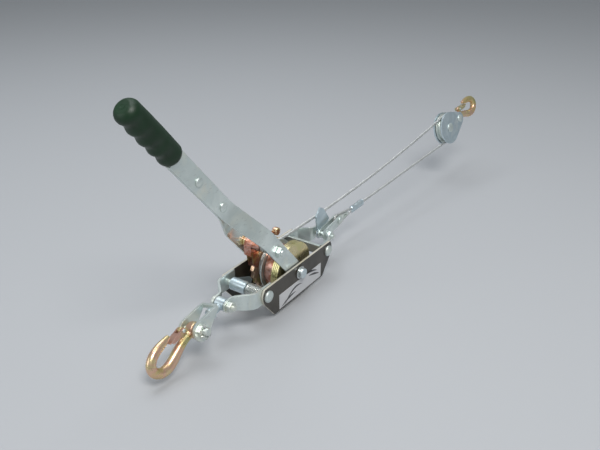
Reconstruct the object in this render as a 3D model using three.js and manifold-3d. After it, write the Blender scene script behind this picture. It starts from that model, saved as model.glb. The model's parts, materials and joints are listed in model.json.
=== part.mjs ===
// Come along winch: a hand-operated ratchet cable puller, rigged between its two hooks.
// Millimetres, +Z up. X runs along the frame from the rear hook to the pulley block, and Y runs
// across the frame to its left side. Everything is laid out from the drum axle and then moved so
// that the origin is the seat of the rear hook, where the winch hangs on its anchor.
import * as THREE from 'three';
import { mergeVertices } from 'three/addons/utils/BufferGeometryUtils.js';
import Module from 'manifold-3d';

const wasm = await Module();
wasm.setup();

// ---------------------------------------------------------------- driving dimensions
const CLEARANCE = 0.3;            // running gap around shafts and between neighbours
const SEAT_GAP = 0.1;             // gap under a head or nut that bears on flat sheet

const PLATE_LENGTH = 166;         // side plate along its top edge
const PLATE_HEIGHT = 50;
const PLATE_TOP = 13;             // top edge above the drum axle
const PLATE_THICKNESS = 3;
const FRAME_WIDTH = 72;           // over the outside of both plates
const FOOT_LENGTH = 123;          // side plate along its bottom edge
const FOOT_RISE = 26;             // bottom edge to where the plate's ends start to lean
const END_BULGE = 9;              // control reach of the plate's rounded ends
const BOLT_INSET = 7;             // plate end to each cross bolt
const BOLT_RADIUS = 5;
const BOLT_HEAD_RADIUS = 8.5;
const BOLT_HEAD_HEIGHT = 5;
const LABEL_HEIGHT = 23;
const LABEL_RISE = 2.5;           // bottom edge to the label
const LABEL_MARGINS = [10.5, 5.5];  // label ends to the foot's rear and front corners
const LABEL_THICKNESS = 0.6;

const STRAP_THICKNESS = 3;
const STRAP_HEIGHT = 24;
const STRAP_END_RADIUS = 9;       // rounded end round the yoke bolt
const STRAP_LAP = 12;             // strap end behind the cross bolt
const REAR_BEND = 22;             // cross bolt to the first bend of the rear straps
const FRONT_BEND = 14;
const BEND_SETBACK = 9.5;         // second bend to the yoke bolt
const REAR_THROAT_REACH = 52;     // rear cross bolt to the rear yoke bolt
const REAR_THROAT_RISE = 4;
const FRONT_THROAT_REACH = 40;    // front cross bolt to the front yoke bolt
const FRONT_THROAT_RISE = 2;
const REAR_THROAT_GAP = 16;       // between the rear straps at their throat
const YOKE_BOLT_RADIUS = 4;
const TIE_BAR_THICKNESS = 3;
const TIE_BAR_HEIGHT = 14;
const TIE_BAR_DROP = 1.5;         // plate's top edge to the tie bar

const AXLE_RADIUS = 7.5;
const AXLE_HEAD_RADIUS = 11;
const AXLE_STICKOUT = 8;          // plain end beyond the near plate
const SPOOL_RADIUS = 14;
const SPOOL_WIDTH = 12;           // between the flange and the ratchet wheel
const SPOOL_END = 18;             // centre plane to the inner face of the ratchet wheel
const WOUND_RADIUS = 28;          // outside of the cable wound on the spool
const FLANGE_RADIUS = 38;
const FLANGE_THICKNESS = 2;
const HUB_RADIUS = 32;
const CHEEK_RADIUS = 42;          // laminated cheek beside the near plate
const CHEEK_PLATES = 4;
const CHEEK_PLATE_THICKNESS = 2.75;
const CHEEK_GROOVE = 1;
const CHEEK_OUTER = 26;           // centre plane to the outer face of the cheek
const WHEEL_RADIUS = 38;          // over the ratchet teeth
const WHEEL_THICKNESS = 6;
const TOOTH_COUNT = 20;
const TOOTH_DEPTH = 4;

const HANDLE_LENGTH = 391;        // drum axle to the end of the grip
const HANDLE_LEAN = 49.5;         // degrees above the rearward direction, at rest
const BAR_WIDTH = 25;
const BAR_THICKNESS = 3;
const BAR_SPREAD = 30;            // middle of each bar from the centre plane, at the axle
const BAR_BEND_START = 106;       // where each bar starts to lean inwards
const BAR_BEND_END = 172;         // where the two bars meet
const TANG_WIDTH = 18;            // the bars inside the grip
const GRIP_LENGTH = 92;
const GRIP_RADIUS = 14.5;
const RIVET_PLACES = [184, 245];  // handle rivets, from the drum axle
const PAWL_BOLT_PLACE = 68;       // drive pawl bolt, from the drum axle
const PAWL_REACH = 42;            // drive pawl, bolt to tip
const PAWL_THICKNESS = 2.6;
const PAWL_SLEEVE_RADIUS = 8;
const SPRING_RADIUS = 7.6;        // outside of the drive pawl's coil spring
const PAWL_WIDTH = 24;            // length of the drive pawl's sleeve
const PAWL_ARM_GAP = 6.4;         // between the drive pawl's two arms
const PAWL_TAIL = 47;             // drive pawl bolt to its finger knob
const KNOB_RADIUS = 5.5;
const KNOB_HEIGHT = 0.5;          // knob above the drive pawl bolt
const KNOB_WIDTH = 7.4;
const TAIL_WIDTH = 5;
const TAIL_SHIFT = 1.6;           // tail off the sleeve's middle, to pass beside the upper run
const TAIL_TILT = 8;              // degrees that the tail falls towards its knob
const STOP_ROLLER_RADIUS = 9.2;
const STOP_ROLLER_LENGTH = 25;

const CHAIN_SLOPE = 9;            // degrees that the rear hook line falls to the rear
const CHAIN_ROLL = 17;            // degrees that both hooks lean to the left
const CLEVIS_BASE = 17;           // rear yoke bolt to the clevis base
const CLEVIS_PIN = 55.5;          // rear yoke bolt to the clevis pin
const CLEVIS_WIDTH = 26;
const CLEVIS_THICKNESS = 4;
const HOOK_SIDE_GAP = 5.5;        // between the hook eye and each clevis leg
const HOOK_THICKNESS = 12;
const HOOK_EYE_RADIUS = 10.5;
const HOOK_PIN_RADIUS = 5;
const HOOK_SEAT = 69;             // hook pin to the seat inside the bowl
const DRAWN_SEAT = 69;            // the seat in the hook's outline as it is drawn below

const CABLE_DIAMETER = 4.5;
const SHEAVE_PITCH_RADIUS = 25;
const SHEAVE_RADIUS = 28.5;
const SHEAVE_WIDTH = 11;
const BLOCK_PLACE = new THREE.Vector3(533, -32, 67);   // sheave centre
const BLOCK_YAW = 5;              // degrees to the right
const BLOCK_RISE = 14;            // degrees upwards
const BLOCK_PLATE_THICKNESS = 3;
const BLOCK_PLATE_MARGIN = 2.5;   // plate's rim outside the sheave's
const BLOCK_NOSE_RADIUS = 13;
const BLOCK_HOOK_GAP = 1.5;       // sheave's rim to the front hook's eye
const BLOCK_SIDE_GAP = 1;         // sheave to each plate
const BLOCK_AXLE_RADIUS = 6;
const UPPER_SAG = 11;             // the hauling run is not quite taut
const CABLE_SIDE_GAP = 0.25;      // cable to the ratchet wheel, where it leaves the spool
const DRUM_TOP_REACH = 16;        // drum axle to where the cable leaves the spool

const ANCHOR_REACH = 43;          // front yoke bolt to the anchor pin
const ANCHOR_RISE = 7;
const LINK_THICKNESS = 2.2;
const LINK_GAP = 6;               // between the two link plates
const GUARD_THICKNESS = 2.4;
const GUARD_REACH = 9;            // front yoke bolt to where the upper run passes the guard
const GUARD_GAP = 0.495;          // cable guard to the upper run
const LINK_SIDE_GAP = 0.2;        // anchor link to the right front strap
const THIMBLE_LENGTH = 38;        // anchor pin to the ferrule
const THIMBLE_RADIUS = 7.4;
const THIMBLE_BORE = 5;
const LOOP_WIDTH = 3.6;           // the eye's rope is pressed flat between the links
const FERRULE_LENGTH = 34;

// ---------------------------------------------------------------- places that follow
const BOLT_REACH = PLATE_LENGTH / 2 - BOLT_INSET;
const REAR_THROAT = BOLT_REACH + REAR_THROAT_REACH;
const FRONT_THROAT = BOLT_REACH + FRONT_THROAT_REACH;
const CLEVIS_SPAN = HOOK_THICKNESS + 2 * (HOOK_SIDE_GAP + CLEVIS_THICKNESS);
const HOOK_STRETCH = HOOK_SEAT / DRAWN_SEAT;
const BLOCK_PIN = SHEAVE_RADIUS + BLOCK_HOOK_GAP + HOOK_EYE_RADIUS;
const BLOCK_PLATE_RADIUS = SHEAVE_RADIUS + BLOCK_PLATE_MARGIN;
const BLOCK_INSIDE = Math.max(SHEAVE_WIDTH / 2 + BLOCK_SIDE_GAP, HOOK_THICKNESS / 2 + CLEARANCE);

// ---------------------------------------------------------------- finishes
const finishes = {
  plate: { color: 0x4b473d, roughness: 0.5, metalness: 0.6 },
  label: { color: 0xdcdfdc, roughness: 0.45, metalness: 0 },
  zinc: { color: 0xa6b4b3, roughness: 0.35, metalness: 0.9 },
  gold: { color: 0xb08a4a, roughness: 0.35, metalness: 0.85 },
  cable: { color: 0xc3c6c4, roughness: 0.4, metalness: 0.8 },
  grip: { color: 0x0a2c12, roughness: 0.6, metalness: 0 },
};
for (const name of Object.keys(finishes)) {
  finishes[name] = new THREE.MeshStandardMaterial(finishes[name]);
}

// ---------------------------------------------------------------- helpers
const degrees = THREE.MathUtils.degToRad;

function solid(geometry) {
  const bare = geometry.clone();
  bare.deleteAttribute('normal');
  bare.deleteAttribute('uv');
  const merged = mergeVertices(bare, 1e-4);
  return new wasm.Manifold(new wasm.Mesh({
    numProp: 3,
    vertProperties: new Float32Array(merged.attributes.position.array),
    triVerts: new Uint32Array(merged.index.array),
  }));
}

function geometryOf(body) {
  const mesh = body.getMesh();
  const geometry = new THREE.BufferGeometry();
  geometry.setAttribute('position', new THREE.BufferAttribute(mesh.vertProperties, 3));
  geometry.setIndex(new THREE.BufferAttribute(mesh.triVerts, 1));
  geometry.computeVertexNormals();
  return geometry;
}

function joined(first, ...others) {
  return others.reduce((sum, other) => sum.add(solid(other)), solid(first));
}

function cut(body, ...tools) {
  return tools.reduce((rest, tool) => rest.subtract(solid(tool)), body);
}

function piece(name, geometry, finish) {
  const mesh = new THREE.Mesh(geometry, finishes[finish]);
  mesh.name = name;
  return mesh;
}

// A flat outline drawn in X and Z, made solid between two places across the frame.
function sheet(shape, fromY, toY, curveSegments = 8) {
  const geometry = new THREE.ExtrudeGeometry(shape, {
    depth: toY - fromY, bevelEnabled: false, curveSegments,
  });
  return geometry.rotateX(Math.PI / 2).translate(0, toY, 0);
}

// A round rod or bore across the frame.
function rod(radius, fromY, toY, x = 0, z = 0, segments = 20) {
  const geometry = new THREE.CylinderGeometry(radius, radius, toY - fromY, segments);
  return geometry.translate(x, (fromY + toY) / 2, z);
}

// A turned piece across the frame, from [radius, Y] corners that close on themselves.
function turned(corners, segments = 20) {
  const profile = corners.map(([radius, y]) => new THREE.Vector2(radius, y));
  return new THREE.LatheGeometry(profile, segments);
}

function ring(inner, outer, fromY, toY, segments = 20) {
  return turned([[inner, fromY], [outer, fromY], [outer, toY], [inner, toY], [inner, fromY]], segments);
}

function hexNut(name, acrossCorners, bore, fromY, toY, finish) {
  const nut = cut(solid(rod(acrossCorners, fromY, toY, 0, 0, 6)), rod(bore, fromY - 1, toY + 1));
  return piece(name, geometryOf(nut), finish);
}

// A headed pin: dome heads at both ends, bearing at fromY and toY.
function domePin(radius, headRadius, headHeight, fromY, toY) {
  return turned([
    [0, fromY - headHeight], [headRadius * 0.6, fromY - headHeight * 0.85],
    [headRadius, fromY - headHeight * 0.3], [headRadius, fromY - SEAT_GAP], [radius, fromY - SEAT_GAP],
    [radius, toY + SEAT_GAP], [headRadius, toY + SEAT_GAP], [headRadius, toY + headHeight * 0.3],
    [headRadius * 0.6, toY + headHeight * 0.85], [0, toY + headHeight],
  ], 16);
}

function circleHole(x, z, radius) {
  const hole = new THREE.Path();
  hole.absarc(x, z, radius, 0, 2 * Math.PI, true);
  return hole;
}

// A closed strip of even thickness along a bent line of [x, y] places.
function bentStrip(places, thickness) {
  const points = places.map(([x, y]) => new THREE.Vector2(x, y));
  const side = (sign) => points.map((point, index) => {
    const before = points[Math.max(index - 1, 0)];
    const after = points[Math.min(index + 1, points.length - 1)];
    const incoming = point.clone().sub(before);
    const outgoing = after.clone().sub(point);
    const first = (incoming.lengthSq() > 0 ? incoming : outgoing).clone().normalize();
    const second = (outgoing.lengthSq() > 0 ? outgoing : incoming).clone().normalize();
    const mean = first.clone().add(second).normalize();
    const reach = (thickness / 2) / mean.dot(first);
    return new THREE.Vector2(point.x - sign * mean.y * reach, point.y + sign * mean.x * reach);
  });
  return new THREE.Shape([...side(1), ...side(-1).reverse()]);
}

// The outline around two circles on the X axis: radius first at 0, radius second at distance.
function pearOutline(first, second, distance) {
  const lean = Math.acos((first - second) / distance);
  const outline = new THREE.Shape();
  outline.absarc(0, 0, first, lean, 2 * Math.PI - lean, false);
  outline.absarc(distance, 0, second, 2 * Math.PI - lean, 2 * Math.PI + lean, false);
  outline.closePath();
  return outline;
}

function tube(curve, radius, steps, sides = 8) {
  const section = new THREE.Shape();
  section.absarc(0, 0, radius, 0, 2 * Math.PI, false);
  return new THREE.ExtrudeGeometry(section, {
    steps, curveSegments: sides / 2, extrudePath: curve, bevelEnabled: false,
  });
}

// A group whose local X runs along a direction and whose local Z leans by a roll.
function alignedGroup(place, direction, up) {
  const group = new THREE.Group();
  const x = direction.clone().normalize();
  const y = up.clone().cross(x).normalize();
  const z = x.clone().cross(y);
  group.quaternion.setFromRotationMatrix(new THREE.Matrix4().makeBasis(x, y, z));
  group.position.copy(place);
  return group;
}

// ---------------------------------------------------------------- the cable's line
const yaw = degrees(BLOCK_YAW);
const rise = degrees(BLOCK_RISE);
const blockDirection = new THREE.Vector3(
  Math.cos(rise) * Math.cos(yaw), -Math.cos(rise) * Math.sin(yaw), Math.sin(rise));
const blockUp = rolledUp(blockDirection, degrees(CHAIN_ROLL));
const upperTangent = BLOCK_PLACE.clone().addScaledVector(blockUp, SHEAVE_PITCH_RADIUS);
const lowerTangent = BLOCK_PLACE.clone().addScaledVector(blockUp, -SHEAVE_PITCH_RADIUS);
const upperEnd = upperTangent.clone().addScaledVector(blockDirection, -1);
const drumTop = new THREE.Vector3(
  DRUM_TOP_REACH, SPOOL_END - CABLE_SIDE_GAP - CABLE_DIAMETER / 2,
  WOUND_RADIUS - CABLE_DIAMETER / 2 + 0.5);

// The middle of the anchor link. The cable guard beside it stands clear of the upper run.
function linkLateral() {
  const part = (FRONT_THROAT + GUARD_REACH - drumTop.x) / (upperEnd.x - drumTop.x);
  const cableSide = THREE.MathUtils.lerp(drumTop.y, upperEnd.y, part) - CABLE_DIAMETER / 2;
  return cableSide - GUARD_GAP - GUARD_THICKNESS - CLEARANCE - LINK_THICKNESS - LINK_GAP / 2;
}

const anchorLateral = linkLateral();
const frontThroatGap = 2 * (LINK_GAP / 2 + LINK_THICKNESS + LINK_SIDE_GAP - anchorLateral);

// ---------------------------------------------------------------- frame
const insideY = FRAME_WIDTH / 2 - PLATE_THICKNESS;

function plateOutline() {
  const half = PLATE_LENGTH / 2;
  const foot = FOOT_LENGTH / 2;
  const bottom = PLATE_TOP - PLATE_HEIGHT;
  const outline = new THREE.Shape();
  const shoulder = bottom + FOOT_RISE;
  const middle = (shoulder + PLATE_TOP) / 2 + 1;
  outline.moveTo(-foot, bottom);
  outline.lineTo(foot, bottom);
  outline.lineTo(half, shoulder);
  outline.quadraticCurveTo(half + END_BULGE, middle, half, PLATE_TOP);
  outline.lineTo(-half, PLATE_TOP);
  outline.quadraticCurveTo(-half - END_BULGE, middle, -half, shoulder);
  outline.closePath();
  for (const x of [-BOLT_REACH, BOLT_REACH]) {
    outline.holes.push(circleHole(x, 0, BOLT_RADIUS + CLEARANCE));
  }
  outline.holes.push(circleHole(0, 0, AXLE_RADIUS + CLEARANCE));
  return outline;
}

function sidePlates() {
  const outside = FRAME_WIDTH / 2;
  return [
    piece('side_plate_right', sheet(plateOutline(), -outside, -insideY), 'plate'),
    piece('side_plate_left', sheet(plateOutline(), insideY, outside), 'plate'),
  ];
}

function namePlate() {
  const low = PLATE_TOP - PLATE_HEIGHT + LABEL_RISE;
  const rear = -FOOT_LENGTH / 2 + LABEL_MARGINS[0];
  const front = FOOT_LENGTH / 2 - LABEL_MARGINS[1];
  const band = new THREE.Shape();
  band.moveTo(rear, low);
  band.lineTo(front, low);
  band.lineTo(front, low + LABEL_HEIGHT);
  band.lineTo(rear, low + LABEL_HEIGHT);
  band.closePath();
  const outside = FRAME_WIDTH / 2 + SEAT_GAP;
  return [piece('name_plate', sheet(band, -outside - LABEL_THICKNESS, -outside), 'label')];
}

function strapPair(where, throat, throatGap, rise, bend) {
  const run = where === 'rear' ? -1 : 1;
  const alongside = insideY - CLEARANCE - STRAP_THICKNESS / 2;
  const throatY = throatGap / 2 + STRAP_THICKNESS / 2;
  const middle = rise / 2;
  const places = [
    [run * (BOLT_REACH - STRAP_LAP), alongside],
    [run * (BOLT_REACH + bend), alongside],
    [run * (throat - BEND_SETBACK), throatY],
    [run * (throat + STRAP_END_RADIUS + 1), throatY],
  ];
  const face = new THREE.Shape();
  const low = middle - STRAP_HEIGHT / 2;
  const high = middle + STRAP_HEIGHT / 2;
  const lean = degrees(70);
  face.moveTo(BOLT_REACH - STRAP_LAP - 1, high);
  face.lineTo(BOLT_REACH - STRAP_LAP - 1, low);
  face.lineTo(BOLT_REACH + bend + BEND_SETBACK, low);
  face.absarc(throat, rise, STRAP_END_RADIUS, -lean, lean, false);
  face.lineTo(BOLT_REACH + bend + BEND_SETBACK, high);
  face.closePath();
  const template = sheet(face, -FRAME_WIDTH, FRAME_WIDTH);
  if (run < 0) {
    template.rotateZ(Math.PI);
  }
  const strap = (side, name) => {
    const outline = bentStrip(places.map(([x, y]) => [x, side * y]), STRAP_THICKNESS);
    const blank = new THREE.ExtrudeGeometry(outline, { depth: STRAP_HEIGHT, bevelEnabled: false });
    blank.translate(0, 0, middle - STRAP_HEIGHT / 2);
    const body = cut(
      solid(blank).intersect(solid(template)),
      rod(BOLT_RADIUS + CLEARANCE, -FRAME_WIDTH, FRAME_WIDTH, run * BOLT_REACH, 0),
      rod(YOKE_BOLT_RADIUS + CLEARANCE, -FRAME_WIDTH, FRAME_WIDTH, run * throat, rise),
    );
    return piece(name, geometryOf(body), 'zinc');
  };
  return [strap(-1, `${where}_strap_right`), strap(1, `${where}_strap_left`)];
}

function crossBolts() {
  const outside = FRAME_WIDTH / 2;
  return [['rear_cross_bolt', -1], ['front_cross_bolt', 1]].map(([name, side]) => {
    const rivet = domePin(BOLT_RADIUS, BOLT_HEAD_RADIUS, BOLT_HEAD_HEIGHT, -outside, outside);
    const mesh = piece(name, rivet, 'zinc');
    mesh.position.x = side * BOLT_REACH;
    return mesh;
  });
}

function yokeBolt(where, throat, throatGap, rise) {
  const outer = throatGap / 2 + STRAP_THICKNESS;
  const bolt = piece(`${where}_yoke_bolt`, turned([
    [0, -outer - 11], [YOKE_BOLT_RADIUS, -outer - 11], [YOKE_BOLT_RADIUS, outer + SEAT_GAP],
    [7, outer + SEAT_GAP], [7, outer + 3], [5, outer + 4.5], [0, outer + 4.5],
  ]), 'zinc');
  const nut = hexNut(`${where}_yoke_nut`, 7.6, YOKE_BOLT_RADIUS + CLEARANCE,
    -outer - SEAT_GAP - 6.5, -outer - SEAT_GAP, 'zinc');
  for (const mesh of [bolt, nut]) {
    mesh.position.set(throat, 0, rise);
  }
  return [bolt, nut];
}

function drumAxle() {
  const outside = FRAME_WIDTH / 2;
  const axle = piece('drum_axle', turned([
    [0, -outside - AXLE_STICKOUT], [AXLE_RADIUS - 1, -outside - AXLE_STICKOUT],
    [AXLE_RADIUS, 1 - outside - AXLE_STICKOUT],
    [AXLE_RADIUS, outside + SEAT_GAP], [AXLE_HEAD_RADIUS, outside + SEAT_GAP],
    [AXLE_HEAD_RADIUS, outside + 3], [AXLE_HEAD_RADIUS - 3, outside + 5], [0, outside + 5],
  ]), 'zinc');
  return [axle];
}

function tieBar() {
  const half = insideY - 2 * CLEARANCE - STRAP_THICKNESS;
  const bar = new THREE.BoxGeometry(TIE_BAR_THICKNESS, 2 * half, TIE_BAR_HEIGHT);
  bar.translate(BOLT_REACH - STRAP_LAP, 0, PLATE_TOP - TIE_BAR_DROP - TIE_BAR_HEIGHT / 2);
  return [piece('front_tie_bar', bar, 'zinc')];
}

// ---------------------------------------------------------------- front lug and cable anchor
function cableGuard() {
  const lug = new THREE.Shape();
  lug.absarc(FRONT_THROAT, FRONT_THROAT_RISE, 9, degrees(150), degrees(330), false);
  lug.lineTo(FRONT_THROAT + 27, 17);
  lug.lineTo(FRONT_THROAT + 9, 41);
  lug.lineTo(FRONT_THROAT - 2, 47);
  lug.lineTo(FRONT_THROAT - 13, 35);
  lug.closePath();
  lug.holes.push(circleHole(FRONT_THROAT, FRONT_THROAT_RISE, YOKE_BOLT_RADIUS + CLEARANCE));
  const beside = anchorLateral + LINK_GAP / 2 + LINK_THICKNESS + CLEARANCE;
  return [piece('cable_guard', sheet(lug, beside, beside + GUARD_THICKNESS), 'zinc')];
}

const anchorPlace = new THREE.Vector3(
  FRONT_THROAT + ANCHOR_REACH, anchorLateral, FRONT_THROAT_RISE + ANCHOR_RISE);

function anchorLink() {
  const length = Math.hypot(ANCHOR_REACH, ANCHOR_RISE);
  const plate = pearOutline(8.5, 8, length);
  plate.holes.push(circleHole(0, 0, YOKE_BOLT_RADIUS + CLEARANCE));
  plate.holes.push(circleHole(length, 0, 4 + CLEARANCE));
  const near = -LINK_GAP / 2;
  const far = LINK_GAP / 2;
  const lean = -Math.atan2(ANCHOR_RISE, ANCHOR_REACH);
  const link = (name, fromY) => {
    const geometry = sheet(plate, fromY, fromY + LINK_THICKNESS).rotateY(lean);
    return piece(name, geometry.translate(FRONT_THROAT, anchorLateral, FRONT_THROAT_RISE), 'zinc');
  };
  const pin = domePin(4, 6.5, 3, near - LINK_THICKNESS, far + LINK_THICKNESS);
  const pinMesh = piece('anchor_pin', pin, 'zinc');
  pinMesh.position.copy(anchorPlace);
  return [
    link('anchor_link_right', near - LINK_THICKNESS),
    link('anchor_link_left', far),
    pinMesh,
  ];
}

// A teardrop ring around the anchor pin, pointed towards the ferrule.
function teardropRing(inner, outer, length, width) {
  const outline = pearOutline(outer, outer * 0.35, length);
  outline.holes.push(new THREE.Path(pearOutline(inner, inner * 0.2, length - 4).getPoints(8)));
  return sheet(outline, -width / 2, width / 2);
}

function cableEnd(blockTangent) {
  const direction = blockTangent.clone().sub(anchorPlace);
  const group = alignedGroup(anchorPlace, direction, new THREE.Vector3(0, 0, 1));
  const pointed = THIMBLE_LENGTH - 12;
  const thimbleRing = teardropRing(THIMBLE_BORE, THIMBLE_RADIUS, pointed, 4.6);
  const thimble = piece('thimble', thimbleRing, 'zinc');
  const inside = THIMBLE_RADIUS + CLEARANCE;
  const loopOuter = inside + CABLE_DIAMETER;
  const loopInner = pearOutline(inside, THIMBLE_RADIUS * 0.35 + CLEARANCE, pointed);
  const loop = cut(
    solid(sheet(pearOutline(loopOuter, 4.6, THIMBLE_LENGTH - 5), -LOOP_WIDTH / 2, LOOP_WIDTH / 2)),
    sheet(loopInner, -LINK_GAP, LINK_GAP),
  );
  const ferrule = new THREE.CylinderGeometry(5.4, 5.4, FERRULE_LENGTH, 16);
  ferrule.rotateZ(Math.PI / 2).scale(1, 0.85, 1.1);
  ferrule.translate(THIMBLE_LENGTH + CLEARANCE + FERRULE_LENGTH / 2, 0, 0);
  group.add(thimble, piece('cable_end_loop', geometryOf(loop), 'cable'), piece('ferrule', ferrule, 'zinc'));
  return group;
}

// ---------------------------------------------------------------- drum
function ratchetWheel(name, fromY) {
  const points = [];
  const pitch = (2 * Math.PI) / TOOTH_COUNT;
  for (let tooth = 0; tooth < TOOTH_COUNT; tooth += 1) {
    const start = tooth * pitch;
    const corners = [
      [WHEEL_RADIUS, start],
      [WHEEL_RADIUS - TOOTH_DEPTH, start + 0.06 * pitch],
      [WHEEL_RADIUS - TOOTH_DEPTH * 0.55, start + 0.5 * pitch],
      [WHEEL_RADIUS, start + 0.84 * pitch],
    ];
    points.push(...corners.map(([radius, angle]) => (
      new THREE.Vector2(radius * Math.cos(angle), radius * Math.sin(angle)))));
  }
  const outline = new THREE.Shape(points);
  outline.holes.push(circleHole(0, 0, AXLE_RADIUS + CLEARANCE));
  return piece(name, sheet(outline, fromY, fromY + WHEEL_THICKNESS), 'gold');
}

// The laminated cheek: plates pressed together, with a groove at each seam.
function laminatedCheek() {
  const bore = AXLE_RADIUS + CLEARANCE;
  const start = -CHEEK_OUTER;
  const end = start + CHEEK_PLATES * CHEEK_PLATE_THICKNESS;
  const corners = [[bore, start], [CHEEK_RADIUS, start]];
  for (let seam = 1; seam < CHEEK_PLATES; seam += 1) {
    const place = start + seam * CHEEK_PLATE_THICKNESS;
    corners.push(
      [CHEEK_RADIUS, place - CHEEK_GROOVE / 3], [CHEEK_RADIUS - CHEEK_GROOVE, place],
      [CHEEK_RADIUS, place + CHEEK_GROOVE / 3],
    );
  }
  corners.push([CHEEK_RADIUS, end], [bore, end], [bore, start]);
  return piece('laminated_cheek', turned(corners, 36), 'gold');
}

function drum() {
  const bore = AXLE_RADIUS + CLEARANCE;
  const flangeEnd = SPOOL_END - SPOOL_WIDTH;
  const flangeStart = flangeEnd - FLANGE_THICKNESS;
  const cheekEnd = CHEEK_PLATES * CHEEK_PLATE_THICKNESS - CHEEK_OUTER;
  const spoolStart = flangeEnd + CLEARANCE;
  const spoolEnd = SPOOL_END - CLEARANCE;
  return [
    laminatedCheek(),
    piece('drum_hub', ring(bore, HUB_RADIUS, cheekEnd + CLEARANCE, flangeStart - CLEARANCE, 32), 'gold'),
    piece('drum_flange', ring(bore, FLANGE_RADIUS, flangeStart, flangeEnd, 36), 'zinc'),
    piece('cable_spool', ring(bore, SPOOL_RADIUS, spoolStart, spoolEnd), 'gold'),
    piece('cable_on_drum', ring(SPOOL_RADIUS + CLEARANCE, WOUND_RADIUS, spoolStart, spoolEnd, 32), 'cable'),
    ratchetWheel('ratchet_wheel', SPOOL_END),
  ];
}

// ---------------------------------------------------------------- handle
function handleBar(name, side) {
  const meeting = side * (BAR_THICKNESS / 2 + CLEARANCE / 2);
  const spread = side * BAR_SPREAD;
  const tangStart = HANDLE_LENGTH - GRIP_LENGTH - 2;
  const strip = bentStrip([
    [-BAR_WIDTH / 2, spread], [BAR_BEND_START, spread],
    [BAR_BEND_END, meeting], [HANDLE_LENGTH - 12, meeting],
  ], BAR_THICKNESS);
  const blank = new THREE.ExtrudeGeometry(strip, { depth: BAR_WIDTH, bevelEnabled: false });
  blank.translate(0, 0, -BAR_WIDTH / 2);
  const face = new THREE.Shape();
  face.absarc(0, 0, BAR_WIDTH / 2, Math.PI / 2, 1.5 * Math.PI, false);
  face.lineTo(tangStart, -BAR_WIDTH / 2);
  face.lineTo(tangStart, -TANG_WIDTH / 2);
  face.lineTo(HANDLE_LENGTH - 14, -TANG_WIDTH / 2);
  face.lineTo(HANDLE_LENGTH - 14, TANG_WIDTH / 2);
  face.lineTo(tangStart, TANG_WIDTH / 2);
  face.lineTo(tangStart, BAR_WIDTH / 2);
  face.closePath();
  face.holes.push(circleHole(0, 0, AXLE_RADIUS + CLEARANCE));
  face.holes.push(circleHole(PAWL_BOLT_PLACE, 0, BOLT_RADIUS + CLEARANCE));
  for (const place of RIVET_PLACES) {
    face.holes.push(circleHole(place, 0, 3.5 + CLEARANCE));
  }
  const body = solid(blank).intersect(solid(sheet(face, -60, 60)));
  return piece(name, geometryOf(body), 'zinc');
}

function handGrip() {
  const start = HANDLE_LENGTH - GRIP_LENGTH;
  const along = (corners) => turned(corners, 24).rotateZ(-Math.PI / 2);
  const body = solid(along([
    [0, start], [GRIP_RADIUS - 2, start], [GRIP_RADIUS + 0.5, start + 5], [GRIP_RADIUS, start + 14],
    [GRIP_RADIUS, HANDLE_LENGTH - 14], [GRIP_RADIUS + 1, HANDLE_LENGTH - 6],
    [GRIP_RADIUS - 1, HANDLE_LENGTH], [0, HANDLE_LENGTH],
  ]));
  const slotDepth = GRIP_LENGTH - 13;
  const slotWide = 2 * BAR_THICKNESS + 3 * CLEARANCE;
  const slot = new THREE.BoxGeometry(slotDepth + 10, slotWide, TANG_WIDTH + 2 * CLEARANCE);
  slot.translate(start - 10 + (slotDepth + 10) / 2, 0, 0);
  return piece('hand_grip', geometryOf(cut(body, slot)), 'grip');
}

function handleRivets() {
  const outer = BAR_THICKNESS + CLEARANCE / 2;
  return RIVET_PLACES.map((place, index) => {
    const mesh = piece(`handle_rivet_${index + 1}`, domePin(3.5, 6, 3, -outer, outer), 'zinc');
    mesh.position.x = place;
    return mesh;
  });
}

function handleBushes() {
  const barInner = BAR_SPREAD - BAR_THICKNESS / 2;
  const drumRight = CHEEK_OUTER;
  const drumLeft = SPOOL_END + WHEEL_THICKNESS;
  const pair = [['handle_bush_right', 1, drumRight], ['handle_bush_left', -1, drumLeft]];
  return pair.map(([name, side, wheelOuter]) => {
    const ends = [side * (wheelOuter + CLEARANCE), side * (barInner - CLEARANCE)].sort((a, b) => a - b);
    return piece(name, ring(AXLE_RADIUS + CLEARANCE, AXLE_HEAD_RADIUS, ...ends), 'gold');
  });
}

function pawlBolt() {
  const outer = BAR_SPREAD + BAR_THICKNESS / 2;
  const bolt = piece('drive_pawl_bolt', turned([
    [0, -outer - 4], [5, -outer - 4], [8, -outer - 2.5], [8, -outer - SEAT_GAP],
    [BOLT_RADIUS, -outer - SEAT_GAP], [BOLT_RADIUS, outer + 8], [0, outer + 8],
  ]), 'zinc');
  const nut = hexNut('drive_pawl_nut', 8.5, BOLT_RADIUS + CLEARANCE, outer + SEAT_GAP, outer + 6, 'zinc');
  for (const mesh of [bolt, nut]) {
    mesh.position.x = PAWL_BOLT_PLACE;
  }
  return [bolt, nut];
}

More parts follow.
